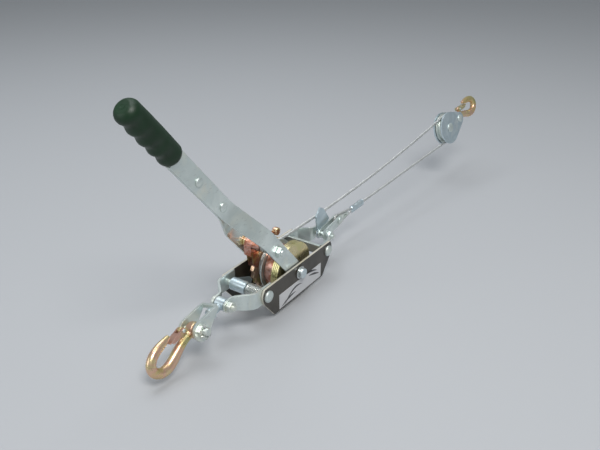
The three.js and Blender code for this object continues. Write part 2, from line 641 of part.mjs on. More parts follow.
// The drive pawl in its own plane: the bolt is at the origin and the tip hangs down.
function drivePawl() {
  const pawlOuter = SPOOL_END + PAWL_THICKNESS + CLEARANCE;
  const pawlInner = pawlOuter - PAWL_WIDTH;
  const secondArm = pawlOuter - 2 * PAWL_THICKNESS - PAWL_ARM_GAP;
  const wheelAngle = degrees(180 - HANDLE_LEAN);
  const pivot = new THREE.Vector2(Math.cos(wheelAngle), Math.sin(wheelAngle)).multiplyScalar(PAWL_BOLT_PLACE);
  const tipRadius = WHEEL_RADIUS + CLEARANCE;
  const spread = Math.acos(
    (PAWL_BOLT_PLACE ** 2 + tipRadius ** 2 - PAWL_REACH ** 2) / (2 * PAWL_BOLT_PLACE * tipRadius));
  const tipAngle = wheelAngle + spread;
  const tip = new THREE.Vector2(Math.cos(tipAngle), Math.sin(tipAngle)).multiplyScalar(tipRadius).sub(pivot);
  const outward = new THREE.Vector2(Math.cos(tipAngle), Math.sin(tipAngle));
  const heel = tip.clone().addScaledVector(outward, 8).add(new THREE.Vector2(0, 2));
  const arm = new THREE.Shape();
  arm.absarc(0, 0, PAWL_SLEEVE_RADIUS, 0, Math.PI, false);
  arm.lineTo(heel.x, heel.y);
  arm.lineTo(tip.x, tip.y);
  arm.lineTo(tip.x + 3, tip.y + 12);
  arm.closePath();
  const webWidth = pawlOuter - secondArm;
  const web = new THREE.BoxGeometry(3, webWidth, 16).translate(-7.5, pawlOuter - webWidth / 2, -8);
  const tailY = (pawlOuter + pawlInner) / 2 - TAIL_SHIFT;
  const tail = new THREE.BoxGeometry(PAWL_TAIL, TAIL_WIDTH, 3);
  tail.translate(PAWL_TAIL / 2 + 2, tailY, 6.4);
  tail.rotateY(degrees(TAIL_TILT));
  const knob = new THREE.CylinderGeometry(KNOB_RADIUS, KNOB_RADIUS - 1, KNOB_WIDTH, 16);
  knob.rotateX(Math.PI / 2).translate(PAWL_TAIL, tailY - 1, KNOB_HEIGHT);
  const body = cut(
    joined(
      rod(PAWL_SLEEVE_RADIUS, pawlInner, pawlOuter),
      sheet(arm, secondArm, secondArm + PAWL_THICKNESS),
      sheet(arm, pawlOuter - PAWL_THICKNESS, pawlOuter),
      web, tail, knob,
    ),
    rod(BOLT_RADIUS + CLEARANCE, -FRAME_WIDTH, FRAME_WIDTH),
  );
  const mesh = piece('drive_pawl', geometryOf(body), 'gold');
  mesh.position.set(pivot.x, 0, pivot.y);
  return mesh;
}

function pawlSpringAndBush() {
  const sleeveEnd = SPOOL_END + PAWL_THICKNESS + 2 * CLEARANCE;
  const sleeveStart = PAWL_WIDTH - sleeveEnd + 3 * CLEARANCE;
  const barInner = BAR_SPREAD - BAR_THICKNESS / 2 - CLEARANCE;
  const bore = BOLT_RADIUS + CLEARANCE;
  const spring = piece('drive_pawl_spring', ring(bore, SPRING_RADIUS, sleeveStart, barInner), 'zinc');
  const bush = piece('drive_pawl_bush', ring(bore, PAWL_SLEEVE_RADIUS, -barInner, -sleeveEnd), 'gold');
  for (const mesh of [spring, bush]) {
    mesh.position.x = PAWL_BOLT_PLACE;
  }
  return [spring, bush];
}

function handle() {
  const lean = degrees(HANDLE_LEAN);
  const direction = new THREE.Vector3(-Math.cos(lean), 0, Math.sin(lean));
  const group = alignedGroup(new THREE.Vector3(), direction, new THREE.Vector3(0.5, 0, 1));
  group.add(
    handleBar('handle_bar_right', 1), handleBar('handle_bar_left', -1), handGrip(),
    ...handleRivets(), ...handleBushes(), ...pawlBolt(), ...pawlSpringAndBush(),
  );
  return group;
}

// ---------------------------------------------------------------- stop pawl
function stopPawl() {
  const outer = SPOOL_END + WHEEL_THICKNESS - SEAT_GAP;
  const rollerStart = outer - STOP_ROLLER_LENGTH;
  const tipAngle = degrees(200);
  const tipRadius = WHEEL_RADIUS + CLEARANCE;
  const tip = new THREE.Vector2(Math.cos(tipAngle), Math.sin(tipAngle)).multiplyScalar(tipRadius);
  tip.x += BOLT_REACH;
  const arm = new THREE.Shape();
  arm.absarc(0, 0, PAWL_SLEEVE_RADIUS, degrees(80), degrees(260), false);
  arm.lineTo(tip.x - 5, tip.y - 7);
  arm.lineTo(tip.x, tip.y);
  arm.lineTo(tip.x - 4, tip.y + 6);
  arm.closePath();
  const body = cut(
    joined(
      rod(STOP_ROLLER_RADIUS, rollerStart, outer),
      sheet(arm, outer - PAWL_THICKNESS, outer),
    ),
    rod(BOLT_RADIUS + CLEARANCE, -FRAME_WIDTH, FRAME_WIDTH),
  );
  const pawl = piece('stop_pawl', geometryOf(body), 'zinc');
  const strapInner = insideY - STRAP_THICKNESS - 2 * CLEARANCE;
  const spring = piece('stop_pawl_spring',
    ring(BOLT_RADIUS + CLEARANCE, STOP_ROLLER_RADIUS, -strapInner, rollerStart - CLEARANCE), 'zinc');
  for (const mesh of [pawl, spring]) {
    mesh.position.x = -BOLT_REACH;
  }
  return [pawl, spring];
}

// ---------------------------------------------------------------- hooks
// The hook in its own plane: the pin is at the origin and the bowl opens towards +Z.
function hookOutline() {
  const outline = new THREE.Shape();
  const neck = Math.PI / 5;
  outline.absarc(0, 0, HOOK_EYE_RADIUS, neck, 2 * Math.PI - neck, false);
  const place = ([x, z]) => new THREE.Vector2(x * HOOK_STRETCH, z);
  const curve = (points) => outline.splineThru(points.map(place));
  curve([[20, -6], [30, -9.8], [38, -14.6], [48, -19.5], [58, -21.4], [68, -19.2], [77, -12.4],
    [82, -2], [80.5, 7.5], [74.5, 14.5], [65.5, 19], [55, 21], [44.5, 21.5], [35, 20.5]]);
  curve([[33.5, 18], [35.5, 15.5], [44, 11.5], [53, 9], [61, 7], [66.6, 3.4], [DRAWN_SEAT, -1],
    [67.2, -5], [62, -7], [54.5, -6.4], [46, -3.6], [38.5, -0.5], [31, 2.5], [24, 4.8]]);
  outline.closePath();
  return outline;
}

const latchPivot = new THREE.Vector2(17, 12.5);
const LATCH_REACH = 40 * HOOK_STRETCH - latchPivot.x;   // its pin to behind the hook's tip
const LATCH_DROP = 3.2;           // latch tip below its pin
const LATCH_INSIDE = 2.5;         // half the width between its cheeks
const LATCH_OUTSIDE = 5.5;
const LATCH_PIN_RADIUS = 1.5;

function hook(name) {
  const half = HOOK_THICKNESS / 2;
  const lugs = sheet(pearOutline(3.4, 5, 9), -LATCH_INSIDE, LATCH_INSIDE, 5);
  lugs.rotateY(degrees(60)).translate(latchPivot.x, 0, latchPivot.y);
  const body = cut(
    joined(sheet(hookOutline(), -half, half, 3), lugs),
    rod(HOOK_PIN_RADIUS + CLEARANCE, -20, 20),
    rod(LATCH_PIN_RADIUS + CLEARANCE, -20, 20, latchPivot.x, latchPivot.y, 12),
  );
  return piece(name, geometryOf(body), 'gold');
}

function latch(name) {
  const cheek = pearOutline(3.4, 2.2, LATCH_REACH - 4);
  const lean = Math.atan2(LATCH_DROP, LATCH_REACH);
  const near = sheet(cheek, LATCH_INSIDE + CLEARANCE, LATCH_OUTSIDE, 5);
  const far = sheet(cheek, -LATCH_OUTSIDE, -LATCH_INSIDE - CLEARANCE, 5);
  const back = new THREE.BoxGeometry(LATCH_REACH - 6, 2 * LATCH_OUTSIDE, 1.6);
  back.translate(LATCH_REACH / 2 + 4.5, 0, 2.2);
  const body = cut(
    joined(near.rotateY(lean), far.rotateY(lean), back.rotateY(lean)),
    rod(LATCH_PIN_RADIUS + CLEARANCE, -20, 20, 0, 0, 12),
  );
  const mesh = piece(name, geometryOf(body), 'gold');
  mesh.position.set(latchPivot.x, 0, latchPivot.y);
  return mesh;
}

function latchPin(name) {
  const mesh = piece(name, domePin(LATCH_PIN_RADIUS, 2.6, 1.2, -LATCH_OUTSIDE, LATCH_OUTSIDE), 'zinc');
  mesh.position.set(latchPivot.x, 0, latchPivot.y);
  return mesh;
}

function hookSet(where) {
  return [hook(`${where}_hook`), latch(`${where}_latch`), latchPin(`${where}_latch_pin`)];
}

// ---------------------------------------------------------------- rear clevis
function swivelStud() {
  const eyeHalf = REAR_THROAT_GAP / 2 - 1;
  const shank = new THREE.CylinderGeometry(5, 5, 20, 20).rotateZ(Math.PI / 2).translate(14, 0, 0);
  const head = new THREE.CylinderGeometry(8, 8, 4, 20).rotateZ(Math.PI / 2);
  head.translate(CLEVIS_BASE + CLEVIS_THICKNESS + 2.3, 0, 0);
  const body = cut(
    joined(rod(8.5, -eyeHalf, eyeHalf), shank, head),
    rod(YOKE_BOLT_RADIUS + CLEARANCE, -20, 20),
  );
  return piece('swivel_stud', geometryOf(body), 'zinc');
}

function clevis() {
  const half = CLEVIS_SPAN / 2;
  const inner = half - CLEVIS_THICKNESS;
  const base = CLEVIS_BASE + CLEVIS_THICKNESS;
  const end = CLEVIS_PIN + CLEVIS_WIDTH / 2;
  const bend = new THREE.Shape();
  bend.moveTo(end, -half);
  bend.lineTo(end, -inner);
  bend.lineTo(base, -inner);
  bend.lineTo(base, inner);
  bend.lineTo(end, inner);
  bend.lineTo(end, half);
  bend.lineTo(CLEVIS_BASE + 5, half);
  bend.quadraticCurveTo(CLEVIS_BASE, half, CLEVIS_BASE, half - 5);
  bend.lineTo(CLEVIS_BASE, 5 - half);
  bend.quadraticCurveTo(CLEVIS_BASE, -half, CLEVIS_BASE + 5, -half);
  bend.closePath();
  const blank = new THREE.ExtrudeGeometry(bend, {
    depth: CLEVIS_WIDTH, bevelEnabled: false, curveSegments: 4,
  });
  blank.translate(0, 0, -CLEVIS_WIDTH / 2);
  const face = new THREE.Shape();
  face.moveTo(CLEVIS_BASE - 5, -CLEVIS_WIDTH / 2);
  face.absarc(CLEVIS_PIN, 0, CLEVIS_WIDTH / 2, -Math.PI / 2, Math.PI / 2, false);
  face.lineTo(CLEVIS_BASE - 5, CLEVIS_WIDTH / 2);
  face.closePath();
  face.holes.push(circleHole(CLEVIS_PIN, 0, HOOK_PIN_RADIUS + CLEARANCE));
  const swivelBore = new THREE.CylinderGeometry(5.4, 5.4, 20, 20).rotateZ(Math.PI / 2);
  swivelBore.translate(CLEVIS_BASE, 0, 0);
  const body = cut(solid(blank).intersect(solid(sheet(face, -40, 40))), swivelBore);
  return piece('rear_clevis', geometryOf(body), 'zinc');
}

function clevisPin() {
  const half = CLEVIS_SPAN / 2;
  const pin = piece('clevis_pin', turned([
    [0, -half - 3], [6, -half - 3], [8, -half - 1.8], [8, -half - SEAT_GAP],
    [HOOK_PIN_RADIUS, -half - SEAT_GAP], [HOOK_PIN_RADIUS, half + 10],
    [HOOK_PIN_RADIUS - 1, half + 11], [0, half + 11],
  ]), 'zinc');
  const nut = hexNut('clevis_nut', 8.6, HOOK_PIN_RADIUS + CLEARANCE, half + SEAT_GAP, half + 7, 'zinc');
  for (const mesh of [pin, nut]) {
    mesh.position.x = CLEVIS_PIN;
  }
  return [pin, nut];
}

const slope = degrees(CHAIN_SLOPE);
const chainDirection = new THREE.Vector3(-Math.cos(slope), 0, -Math.sin(slope));
const rearYokePlace = new THREE.Vector3(-REAR_THROAT, 0, REAR_THROAT_RISE);

function rolledUp(direction, roll) {
  const up = new THREE.Vector3(0, 0, 1);
  const side = up.clone().cross(direction).normalize();
  const square = direction.clone().cross(side).normalize();
  const sideSign = Math.sign(side.y);
  return square.multiplyScalar(Math.cos(roll)).addScaledVector(side, sideSign * Math.sin(roll));
}

function rearChain() {
  const stud = alignedGroup(rearYokePlace, chainDirection, new THREE.Vector3(0, 0, 1));
  stud.add(swivelStud());
  const up = rolledUp(chainDirection, degrees(CHAIN_ROLL));
  const swivelled = alignedGroup(rearYokePlace, chainDirection, up);
  const hookGroup = new THREE.Group();
  hookGroup.position.x = CLEVIS_PIN;
  hookGroup.add(...hookSet('rear'));
  swivelled.add(clevis(), ...clevisPin(), hookGroup);
  return [stud, swivelled];
}

// ---------------------------------------------------------------- pulley block
function sheaveWheel() {
  const half = SHEAVE_WIDTH / 2;
  const floor = SHEAVE_PITCH_RADIUS - CABLE_DIAMETER / 2 - CLEARANCE;
  const bore = BLOCK_AXLE_RADIUS + CLEARANCE;
  return piece('sheave', turned([
    [bore, -half], [SHEAVE_RADIUS, -half], [SHEAVE_RADIUS, 1 - half],
    [floor, -CABLE_DIAMETER / 2 - CLEARANCE], [floor, CABLE_DIAMETER / 2 + CLEARANCE],
    [SHEAVE_RADIUS, half - 1], [SHEAVE_RADIUS, half],
    [bore, half], [bore, -half],
  ], 28), 'zinc');
}

function blockPlates() {
  const inner = BLOCK_INSIDE;
  const outline = pearOutline(BLOCK_PLATE_RADIUS, BLOCK_NOSE_RADIUS, BLOCK_PIN);
  outline.holes.push(circleHole(0, 0, BLOCK_AXLE_RADIUS + CLEARANCE));
  outline.holes.push(circleHole(BLOCK_PIN, 0, HOOK_PIN_RADIUS + CLEARANCE));
  return [
    piece('block_plate_right', sheet(outline, -inner - BLOCK_PLATE_THICKNESS, -inner, 10), 'zinc'),
    piece('block_plate_left', sheet(outline, inner, inner + BLOCK_PLATE_THICKNESS, 10), 'zinc'),
  ];
}

function blockPins() {
  const outer = BLOCK_INSIDE + BLOCK_PLATE_THICKNESS;
  const axle = piece('sheave_axle', domePin(BLOCK_AXLE_RADIUS, 9, 3, -outer, outer), 'zinc');
  const pin = piece('front_hook_pin', domePin(HOOK_PIN_RADIUS, 7.5, 3, -outer, outer), 'zinc');
  pin.position.x = BLOCK_PIN;
  return [axle, pin];
}

function cableOnSheave() {
  const bend = new THREE.CatmullRomCurve3(
    Array.from({ length: 13 }, (_, step) => {
      const angle = degrees(84 - (168 * step) / 12);
      return new THREE.Vector3(
        SHEAVE_PITCH_RADIUS * Math.cos(angle), 0, SHEAVE_PITCH_RADIUS * Math.sin(angle));
    }));
  return piece('cable_on_sheave', tube(bend, CABLE_DIAMETER / 2, 12), 'cable');
}

function pulleyBlock() {
  const group = alignedGroup(BLOCK_PLACE, blockDirection, blockUp);
  const hookGroup = new THREE.Group();
  hookGroup.position.x = BLOCK_PIN;
  hookGroup.add(...hookSet('front'));
  group.add(sheaveWheel(), ...blockPlates(), ...blockPins(), cableOnSheave(), hookGroup);
  return group;
}

// ---------------------------------------------------------------- cable runs
function cableRun(name, start, end, sag, steps) {
  const points = Array.from({ length: steps + 1 }, (_, step) => {
    const part = step / steps;
    const point = start.clone().lerp(end, part);
    point.z -= 4 * sag * part * (1 - part);
    return point;
  });
  return piece(name, tube(new THREE.CatmullRomCurve3(points), CABLE_DIAMETER / 2, 2 * steps), 'cable');
}

function cableRuns() {
  const lowerDirection = lowerTangent.clone().sub(anchorPlace).normalize();
  const lowerStart = anchorPlace.clone().addScaledVector(
    lowerDirection, THIMBLE_LENGTH + FERRULE_LENGTH + 3 * CLEARANCE);
  const lowerEnd = lowerTangent.clone().addScaledVector(lowerDirection, -1);
  return [
    cableRun('cable_run_upper', drumTop, upperEnd, UPPER_SAG, 12),
    cableRun('cable_run_lower', lowerStart, lowerEnd, 0, 4),
  ];
}

// ---------------------------------------------------------------- whole winch
const winch = new THREE.Group();
winch.add(
  ...sidePlates(), ...namePlate(), ...crossBolts(), ...drumAxle(), ...tieBar(),
  ...strapPair('rear', REAR_THROAT, REAR_THROAT_GAP, REAR_THROAT_RISE, REAR_BEND),
  ...strapPair('front', FRONT_THROAT, frontThroatGap, FRONT_THROAT_RISE, FRONT_BEND),
  ...yokeBolt('rear', -REAR_THROAT, REAR_THROAT_GAP, REAR_THROAT_RISE),
  ...yokeBolt('front', FRONT_THROAT, frontThroatGap, FRONT_THROAT_RISE),
  ...cableGuard(), ...anchorLink(), cableEnd(lowerTangent),
  ...drum(), handle(), drivePawl(), ...stopPawl(),
  ...rearChain(), pulleyBlock(), ...cableRuns(),
);
const seat = rearYokePlace.clone().addScaledVector(chainDirection, CLEVIS_PIN + HOOK_SEAT);
winch.position.copy(seat).negate();

export default winch;
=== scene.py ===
"""Come along winch: the finished look of a hand-operated ratchet cable puller.

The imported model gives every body, joint and size. The classes below refine or rebuild its pieces,
one class to a sub-assembly, and dress them in plated steel, enamel, vinyl and wire rope.
"""
import json
import logging
import math
from dataclasses import dataclass, field
from enum import Enum
from typing import Optional, Sequence

import bmesh
import bpy
from mathutils import Euler, Matrix, Vector

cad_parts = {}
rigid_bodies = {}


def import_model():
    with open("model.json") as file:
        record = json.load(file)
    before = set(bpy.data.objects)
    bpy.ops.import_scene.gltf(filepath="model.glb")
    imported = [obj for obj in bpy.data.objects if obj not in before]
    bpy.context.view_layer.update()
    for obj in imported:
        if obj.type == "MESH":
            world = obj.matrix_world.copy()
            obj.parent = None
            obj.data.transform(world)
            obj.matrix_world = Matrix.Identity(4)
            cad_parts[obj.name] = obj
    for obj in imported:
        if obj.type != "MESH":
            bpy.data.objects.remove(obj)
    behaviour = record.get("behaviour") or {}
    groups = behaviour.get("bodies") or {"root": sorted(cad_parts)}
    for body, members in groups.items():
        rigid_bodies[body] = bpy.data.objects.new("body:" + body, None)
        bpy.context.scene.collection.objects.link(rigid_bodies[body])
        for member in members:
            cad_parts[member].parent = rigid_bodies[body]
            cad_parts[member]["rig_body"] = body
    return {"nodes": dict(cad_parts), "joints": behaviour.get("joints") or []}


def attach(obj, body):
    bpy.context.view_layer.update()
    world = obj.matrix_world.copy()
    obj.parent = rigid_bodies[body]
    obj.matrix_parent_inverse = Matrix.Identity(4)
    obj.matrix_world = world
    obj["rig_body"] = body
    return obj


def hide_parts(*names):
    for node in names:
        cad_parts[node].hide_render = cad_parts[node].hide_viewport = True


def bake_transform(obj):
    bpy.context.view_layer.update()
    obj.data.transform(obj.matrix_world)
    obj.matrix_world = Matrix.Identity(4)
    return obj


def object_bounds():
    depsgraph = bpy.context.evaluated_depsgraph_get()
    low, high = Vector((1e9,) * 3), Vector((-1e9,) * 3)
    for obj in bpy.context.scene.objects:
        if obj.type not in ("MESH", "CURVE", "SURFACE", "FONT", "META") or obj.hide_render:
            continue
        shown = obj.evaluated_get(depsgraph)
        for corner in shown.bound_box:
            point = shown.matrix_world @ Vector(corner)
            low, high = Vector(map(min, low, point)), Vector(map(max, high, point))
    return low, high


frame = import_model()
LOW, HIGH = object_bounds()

LOG = logging.getLogger("winch")
MM = 0.001
WELD = 0.002            # corners nearer than this are one, in millimetres
SHARP = 30.0            # degrees that an edge folds before it is rounded
SHADED_SHARP = 38.0     # degrees past which shading breaks at an edge
FOLD_ANGLES = (8, 62)   # degrees that a bent bar's folds turn through
FOLD_LENGTH = 14        # the shortest fold of a bent bar
ACROSS = Vector((0, 1, 0))


class Slot(Enum):
    """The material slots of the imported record."""

    PLATE = "plate"
    LABEL = "label"
    ZINC = "zinc"
    GOLD = "gold"
    CABLE = "cable"
    GRIP = "grip"


# ------------------------------------------------------------------ finishes
class NodeBench:
    """A short way to lay out one material's nodes."""

    def __init__(self, name: str) -> None:
        """Start an empty material with its shader and output."""
        self.material = bpy.data.materials.new(name)
        self.material.use_nodes = True
        self.tree = self.material.node_tree
        self.shader = self.tree.nodes["Principled BSDF"]
        self.coords = self.tree.nodes.new("ShaderNodeTexCoord").outputs["Object"]

    def add(self, kind: str, links: dict, **values: object) -> bpy.types.Node:
        """Add a node.

        Args:
            kind: the node's class without its ShaderNode prefix.
            links: input name or number to an output socket, or to a constant.
            values: properties of the node itself.

        Returns:
            The new node.
        """
        node = self.tree.nodes.new(f"ShaderNode{kind}")
        for key, value in values.items():
            setattr(node, key, value)
        for key, value in links.items():
            if isinstance(value, bpy.types.NodeSocket):
                self.tree.links.new(value, node.inputs[key])
            else:
                node.inputs[key].default_value = value
        return node

    def noise(self, scale: float, detail: float = 3.0, stretch: Sequence[float] = (1, 1, 1),
              distortion: float = 0.0) -> bpy.types.NodeSocket:
        """Return a noise value on the piece's own coordinates.

        Args:
            scale: how many cells lie in a metre.
            detail: how many finer layers are added.
            stretch: a factor on the cells for each axis.
            distortion: how far the cells are pulled about.

        Returns:
            The noise value.
        """
        mapping = self.add("Mapping", {"Vector": self.coords, "Scale": tuple(stretch)})
        links = {"Vector": mapping.outputs[0], "Scale": scale, "Detail": detail,
                 "Distortion": distortion}
        return self.add("TexNoise", links).outputs[0]

    def math(self, operation: str, first: object, second: object = 0.0) -> bpy.types.NodeSocket:
        """Return the result of one sum."""
        return self.add("Math", {0: first, 1: second}, operation=operation).outputs[0]

    def ramp(self, value: bpy.types.NodeSocket, stops: Sequence[tuple]) -> bpy.types.NodeSocket:
        """Return a colour that a value picks from (place, colour) stops.

        Args:
            value: the value, from 0 to 1.
            stops: the places and their colours.

        Returns:
            The colour.
        """
        node = self.add("ValToRGB", {0: value})
        marks = node.color_ramp.elements
        while len(marks) < len(stops):
            marks.new(0.5)
        for mark, (place, colour) in zip(marks, stops):
            mark.position = place
            mark.color = (*colour, 1.0)
        return node.outputs[0]

    def spread(self, value: bpy.types.NodeSocket, low: float, high: float,
               within: tuple = (0.3, 0.7)) -> bpy.types.NodeSocket:
        """Return a value spread between two limits, from the range that it mostly lies in.

        Args:
            value: the value.
            low: the lower limit.
            high: the upper limit.
            within: the range that it mostly lies in.

        Returns:
            The spread value.
        """
        links = {0: value, 1: within[0], 2: within[1], 3: low, 4: high}
        return self.add("MapRange", links).outputs[0]

    def mix(self, share: object, first: object, second: object) -> bpy.types.NodeSocket:
        """Return one colour mixed into another by a share.

        Args:
            share: how much of the second shows.
            first: a colour, or a socket.
            second: a colour, or a socket.

        Returns:
            The mixed colour.
        """
        node = self.add("Mix", {0: share}, data_type="RGBA")
        for number, value in ((6, first), (7, second)):
            if isinstance(value, bpy.types.NodeSocket):
                self.tree.links.new(value, node.inputs[number])
            else:
                node.inputs[number].default_value = (*value, 1.0)
        return node.outputs[2]

    def bump(self, height: bpy.types.NodeSocket, strength: float, distance: float) -> None:
        """Give the shader a relief from a height.

        Args:
            height: the height's socket.
            strength: how strongly it shows.
            distance: how far it stands, in metres.
        """
        node = self.add("Bump", {"Height": height, "Strength": strength, "Distance": distance})
        self.tree.links.new(node.outputs[0], self.shader.inputs["Normal"])

    def feed(self, **sockets: object) -> None:
        """Set or link shader inputs; an underscore in a name stands for a space.

        Args:
            sockets: each input's value, or the socket that feeds it.
        """
        for key, value in sockets.items():
            socket = self.shader.inputs[key.replace("_", " ")]
            if isinstance(value, bpy.types.NodeSocket):
                self.tree.links.new(value, socket)
            else:
                socket.default_value = value


@dataclass(frozen=True)
class Finish:
    """A finish that a piece can be dressed in."""

    name: str
    slot: Slot

    def dress(self, bench: NodeBench) -> None:
        """Lay out the finish's nodes.

        Args:
            bench: where the nodes are laid out.
        """
        raise NotImplementedError

    def material(self) -> bpy.types.Material:
        """Return the finish's material, made once."""
        made = bpy.data.materials.get(self.name)
        if made is None:
            bench = NodeBench(self.name)
            self.dress(bench)
            made = bench.material
        return made


@dataclass(frozen=True)
class Plated(Finish):
    """Plated steel: clouded colour, a fine satin grain, and small handling scuffs."""

    clouds: tuple = ((0.0, (0.6, 0.64, 0.63)), (1.0, (0.5, 0.54, 0.53)))
    cloud_scale: float = 28.0
    rough: tuple = (0.3, 0.46)
    metal: float = 0.85
    grain: float = 0.05
    stretch: tuple = (1.0, 1.0, 1.0)
    scuff: tuple = (0.42, 0.44, 0.43)
    scuff_scale: float = 420.0
    scuff_share: float = 0.35
    grain_scale: float = 1500.0

    def dress(self, bench: NodeBench) -> None:
        """Cloud the colour, vary the gloss, and add the grain.

        Args:
            bench: where the nodes are laid out.
        """
        clouds = bench.noise(self.cloud_scale, 4.0, self.stretch, 0.6)
        colour = bench.ramp(clouds, self.clouds)
        scuffs = bench.noise(self.scuff_scale, 2.0, (0.25, 1, 1))
        dulled = bench.spread(scuffs, 0.0, self.scuff_share, (0.62, 0.72))
        colour = bench.mix(dulled, colour, self.scuff)
        rough = bench.spread(bench.noise(90.0, 3.0), *self.rough)
        bench.feed(Base_Color=colour, Roughness=rough, Metallic=self.metal)
        bench.bump(bench.noise(self.grain_scale, 2.0), self.grain, 0.0004)


@dataclass(frozen=True)
class Enamel(Finish):
    """Baked enamel on sheet steel: dark, satin, with orange peel and a worn, warmer bloom."""

    base: tuple = (0.026, 0.023, 0.018)
    bloom: tuple = (0.050, 0.042, 0.030)
    dust: tuple = (0.10, 0.09, 0.075)
    cloud_scale: float = 14.0
    dust_scale: float = 700.0
    rough: tuple = (0.34, 0.5)
    peel_scale: float = 650.0
    peel: float = 0.12

    def dress(self, bench: NodeBench) -> None:
        """Mix the bloom in by clouds, and give the coat its peel.

        Args:
            bench: where the nodes are laid out.
        """
        clouds = bench.spread(bench.noise(self.cloud_scale, 5.0, (1, 1, 1), 0.8), 0.0, 1.0)
        specks = bench.spread(bench.noise(self.dust_scale, 2.0), 0.0, 0.5, (0.66, 0.74))
        colour = bench.mix(specks, bench.mix(clouds, self.base, self.bloom), self.dust)
        rough = bench.spread(bench.noise(60.0, 3.0), *self.rough)
        bench.feed(Base_Color=colour, Roughness=rough, Metallic=0.0, Coat_Weight=0.25,
                   Coat_Roughness=0.3)
        bench.bump(bench.noise(self.peel_scale, 2.0), self.peel, 0.0004)


@dataclass(frozen=True)
class Vinyl(Finish):
    """Dip-moulded vinyl: deep green, soft gloss, fine skin texture."""

    base: tuple = (0.0012, 0.016, 0.0035)
    light: tuple = (0.0025, 0.030, 0.0075)
    rough: tuple = (0.38, 0.55)
    skin_scale: float = 1100.0
    skin: float = 0.18

    def dress(self, bench: NodeBench) -> None:
        """Cloud the green and add the moulded skin.

        Args:
            bench: where the nodes are laid out.
        """
        clouds = bench.spread(bench.noise(35.0, 4.0), 0.0, 1.0)
        rough = bench.spread(bench.noise(150.0, 3.0), *self.rough)
        bench.feed(Base_Color=bench.mix(clouds, self.base, self.light), Roughness=rough,
                   Specular_IOR_Level=0.45)
        bench.bump(bench.noise(self.skin_scale, 3.0), self.skin, 0.0005)


@dataclass(frozen=True)
class WireRope(Finish):
    """Galvanised wire rope: bright lay wires, with painted shade in the gaps between them."""

    light: tuple = (0.86, 0.87, 0.86)
    # dark: the colour of the painted shade in the gaps between the wires
    dark: tuple = (0.46, 0.47, 0.46)
    wire_spacing: float = 0.0009

    def dress(self, bench: NodeBench) -> None:
        """Draw the wires along the strands from the rope's own length, with painted shade between
        them.

        Args:
            bench: where the nodes are laid out.
        """
        along = bench.add("Attribute", {}, attribute_name="along").outputs["Fac"]
        wires = bench.math("SINE", bench.math("MULTIPLY", along, 2 * math.pi / self.wire_spacing))
        # the dark half of each wire band is painted shade in the gap between two wires; the noise
        # below adds random grime
        share = bench.spread(wires, 0.0, 0.45, (-1.0, 1.0))
        grime = bench.spread(bench.noise(120.0, 3.0), 0.0, 0.35)
        colour = bench.mix(bench.math("ADD", share, grime), self.light, self.dark)
        rough = bench.spread(bench.noise(200.0), 0.32, 0.5)
        bench.feed(Base_Color=colour, Roughness=rough, Metallic=0.8)
        bench.bump(wires, 0.25, 0.00012)


@dataclass(frozen=True)
class PrintedLabel(Finish):
    """A pale film label, printed with plain sweeping strokes in dark ink."""

    film: tuple = (0.62, 0.62, 0.63)
    ink: tuple = (0.03, 0.03, 0.035)
    centre: tuple = (0.253, -0.0075)
    strokes: tuple = (
        (-0.044, 0.004, -0.0085, 0.019, 0.34),
        (-0.049, -0.012, -0.0088, 0.0045, 0.20),
        (0.012, 0.044, 0.0058, 0.0045, -0.22),
        (0.020, 0.050, -0.0010, 0.0028, -0.30),
    )
    stroke_width: float = 0.0017
    stroke_lift: float = 0.002
    mottle: tuple = (0.5, 0.5, 0.52)

    def dress(self, bench: NodeBench) -> None:
        """Draw each (start, end, low, rise, slope) stroke as a thin arched band on the label.

        Args:
            bench: where the nodes are laid out.
        """
        parts = bench.add("SeparateXYZ", {0: bench.coords})
        across = bench.math("SUBTRACT", parts.outputs[0], self.centre[0])
        up = bench.math("SUBTRACT", parts.outputs[2], self.centre[1])
        printed: object = 0.0
        for start, end, low, rise, slope in self.strokes:
            middle, half = (start + end) / 2, (end - start) / 2
            along = bench.math("DIVIDE", bench.math("SUBTRACT", across, middle), half)
            arch = bench.math("SUBTRACT", 1.0, bench.math("MULTIPLY", along, along))
            line = bench.math("MULTIPLY", arch, rise * 0.5)
            line = bench.math("ADD", line, low + self.stroke_lift)
            line = bench.math("ADD", line, bench.math("MULTIPLY", along, slope * half))
            miss = bench.math("ABSOLUTE", bench.math("SUBTRACT", up, line))
            width = bench.math("MULTIPLY", arch, self.stroke_width)
            printed = bench.math("MAXIMUM", printed, bench.math("LESS_THAN", miss, width))
        clouds = bench.spread(bench.noise(500.0, 2.0), 0.0, 0.25)
        film = bench.mix(clouds, self.film, self.mottle)
        bench.feed(Base_Color=bench.mix(printed, film, self.ink), Roughness=0.38, Coat_Weight=0.2)


ZINC_CLOUDS = ((0.30, (0.80, 0.86, 0.83)), (0.50, (0.66, 0.73, 0.71)), (0.66, (0.76, 0.79, 0.72)))
BLUE_CLOUDS = ((0.30, (0.70, 0.79, 0.83)), (0.52, (0.54, 0.64, 0.69)), (0.70, (0.74, 0.79, 0.79)))
GOLD_CLOUDS = ((0.28, (0.66, 0.50, 0.22)), (0.42, (0.74, 0.60, 0.34)), (0.52, (0.76, 0.48, 0.36)),
               (0.62, (0.70, 0.55, 0.25)), (0.74, (0.45, 0.46, 0.22)))
ROSE_CLOUDS = ((0.30, (0.56, 0.40, 0.18)), (0.42, (0.42, 0.15, 0.09)), (0.52, (0.60, 0.36, 0.30)),
               (0.60, (0.40, 0.16, 0.10)), (0.70, (0.40, 0.38, 0.16)))
COPPER_CLOUDS = ((0.30, (0.74, 0.46, 0.32)), (0.48, (0.78, 0.52, 0.40)), (0.60, (0.66, 0.38, 0.30)),
                 (0.72, (0.70, 0.52, 0.28)))
OLIVE_CLOUDS = ((0.30, (0.62, 0.58, 0.26)), (0.50, (0.72, 0.62, 0.38)), (0.68, (0.40, 0.42, 0.18)))
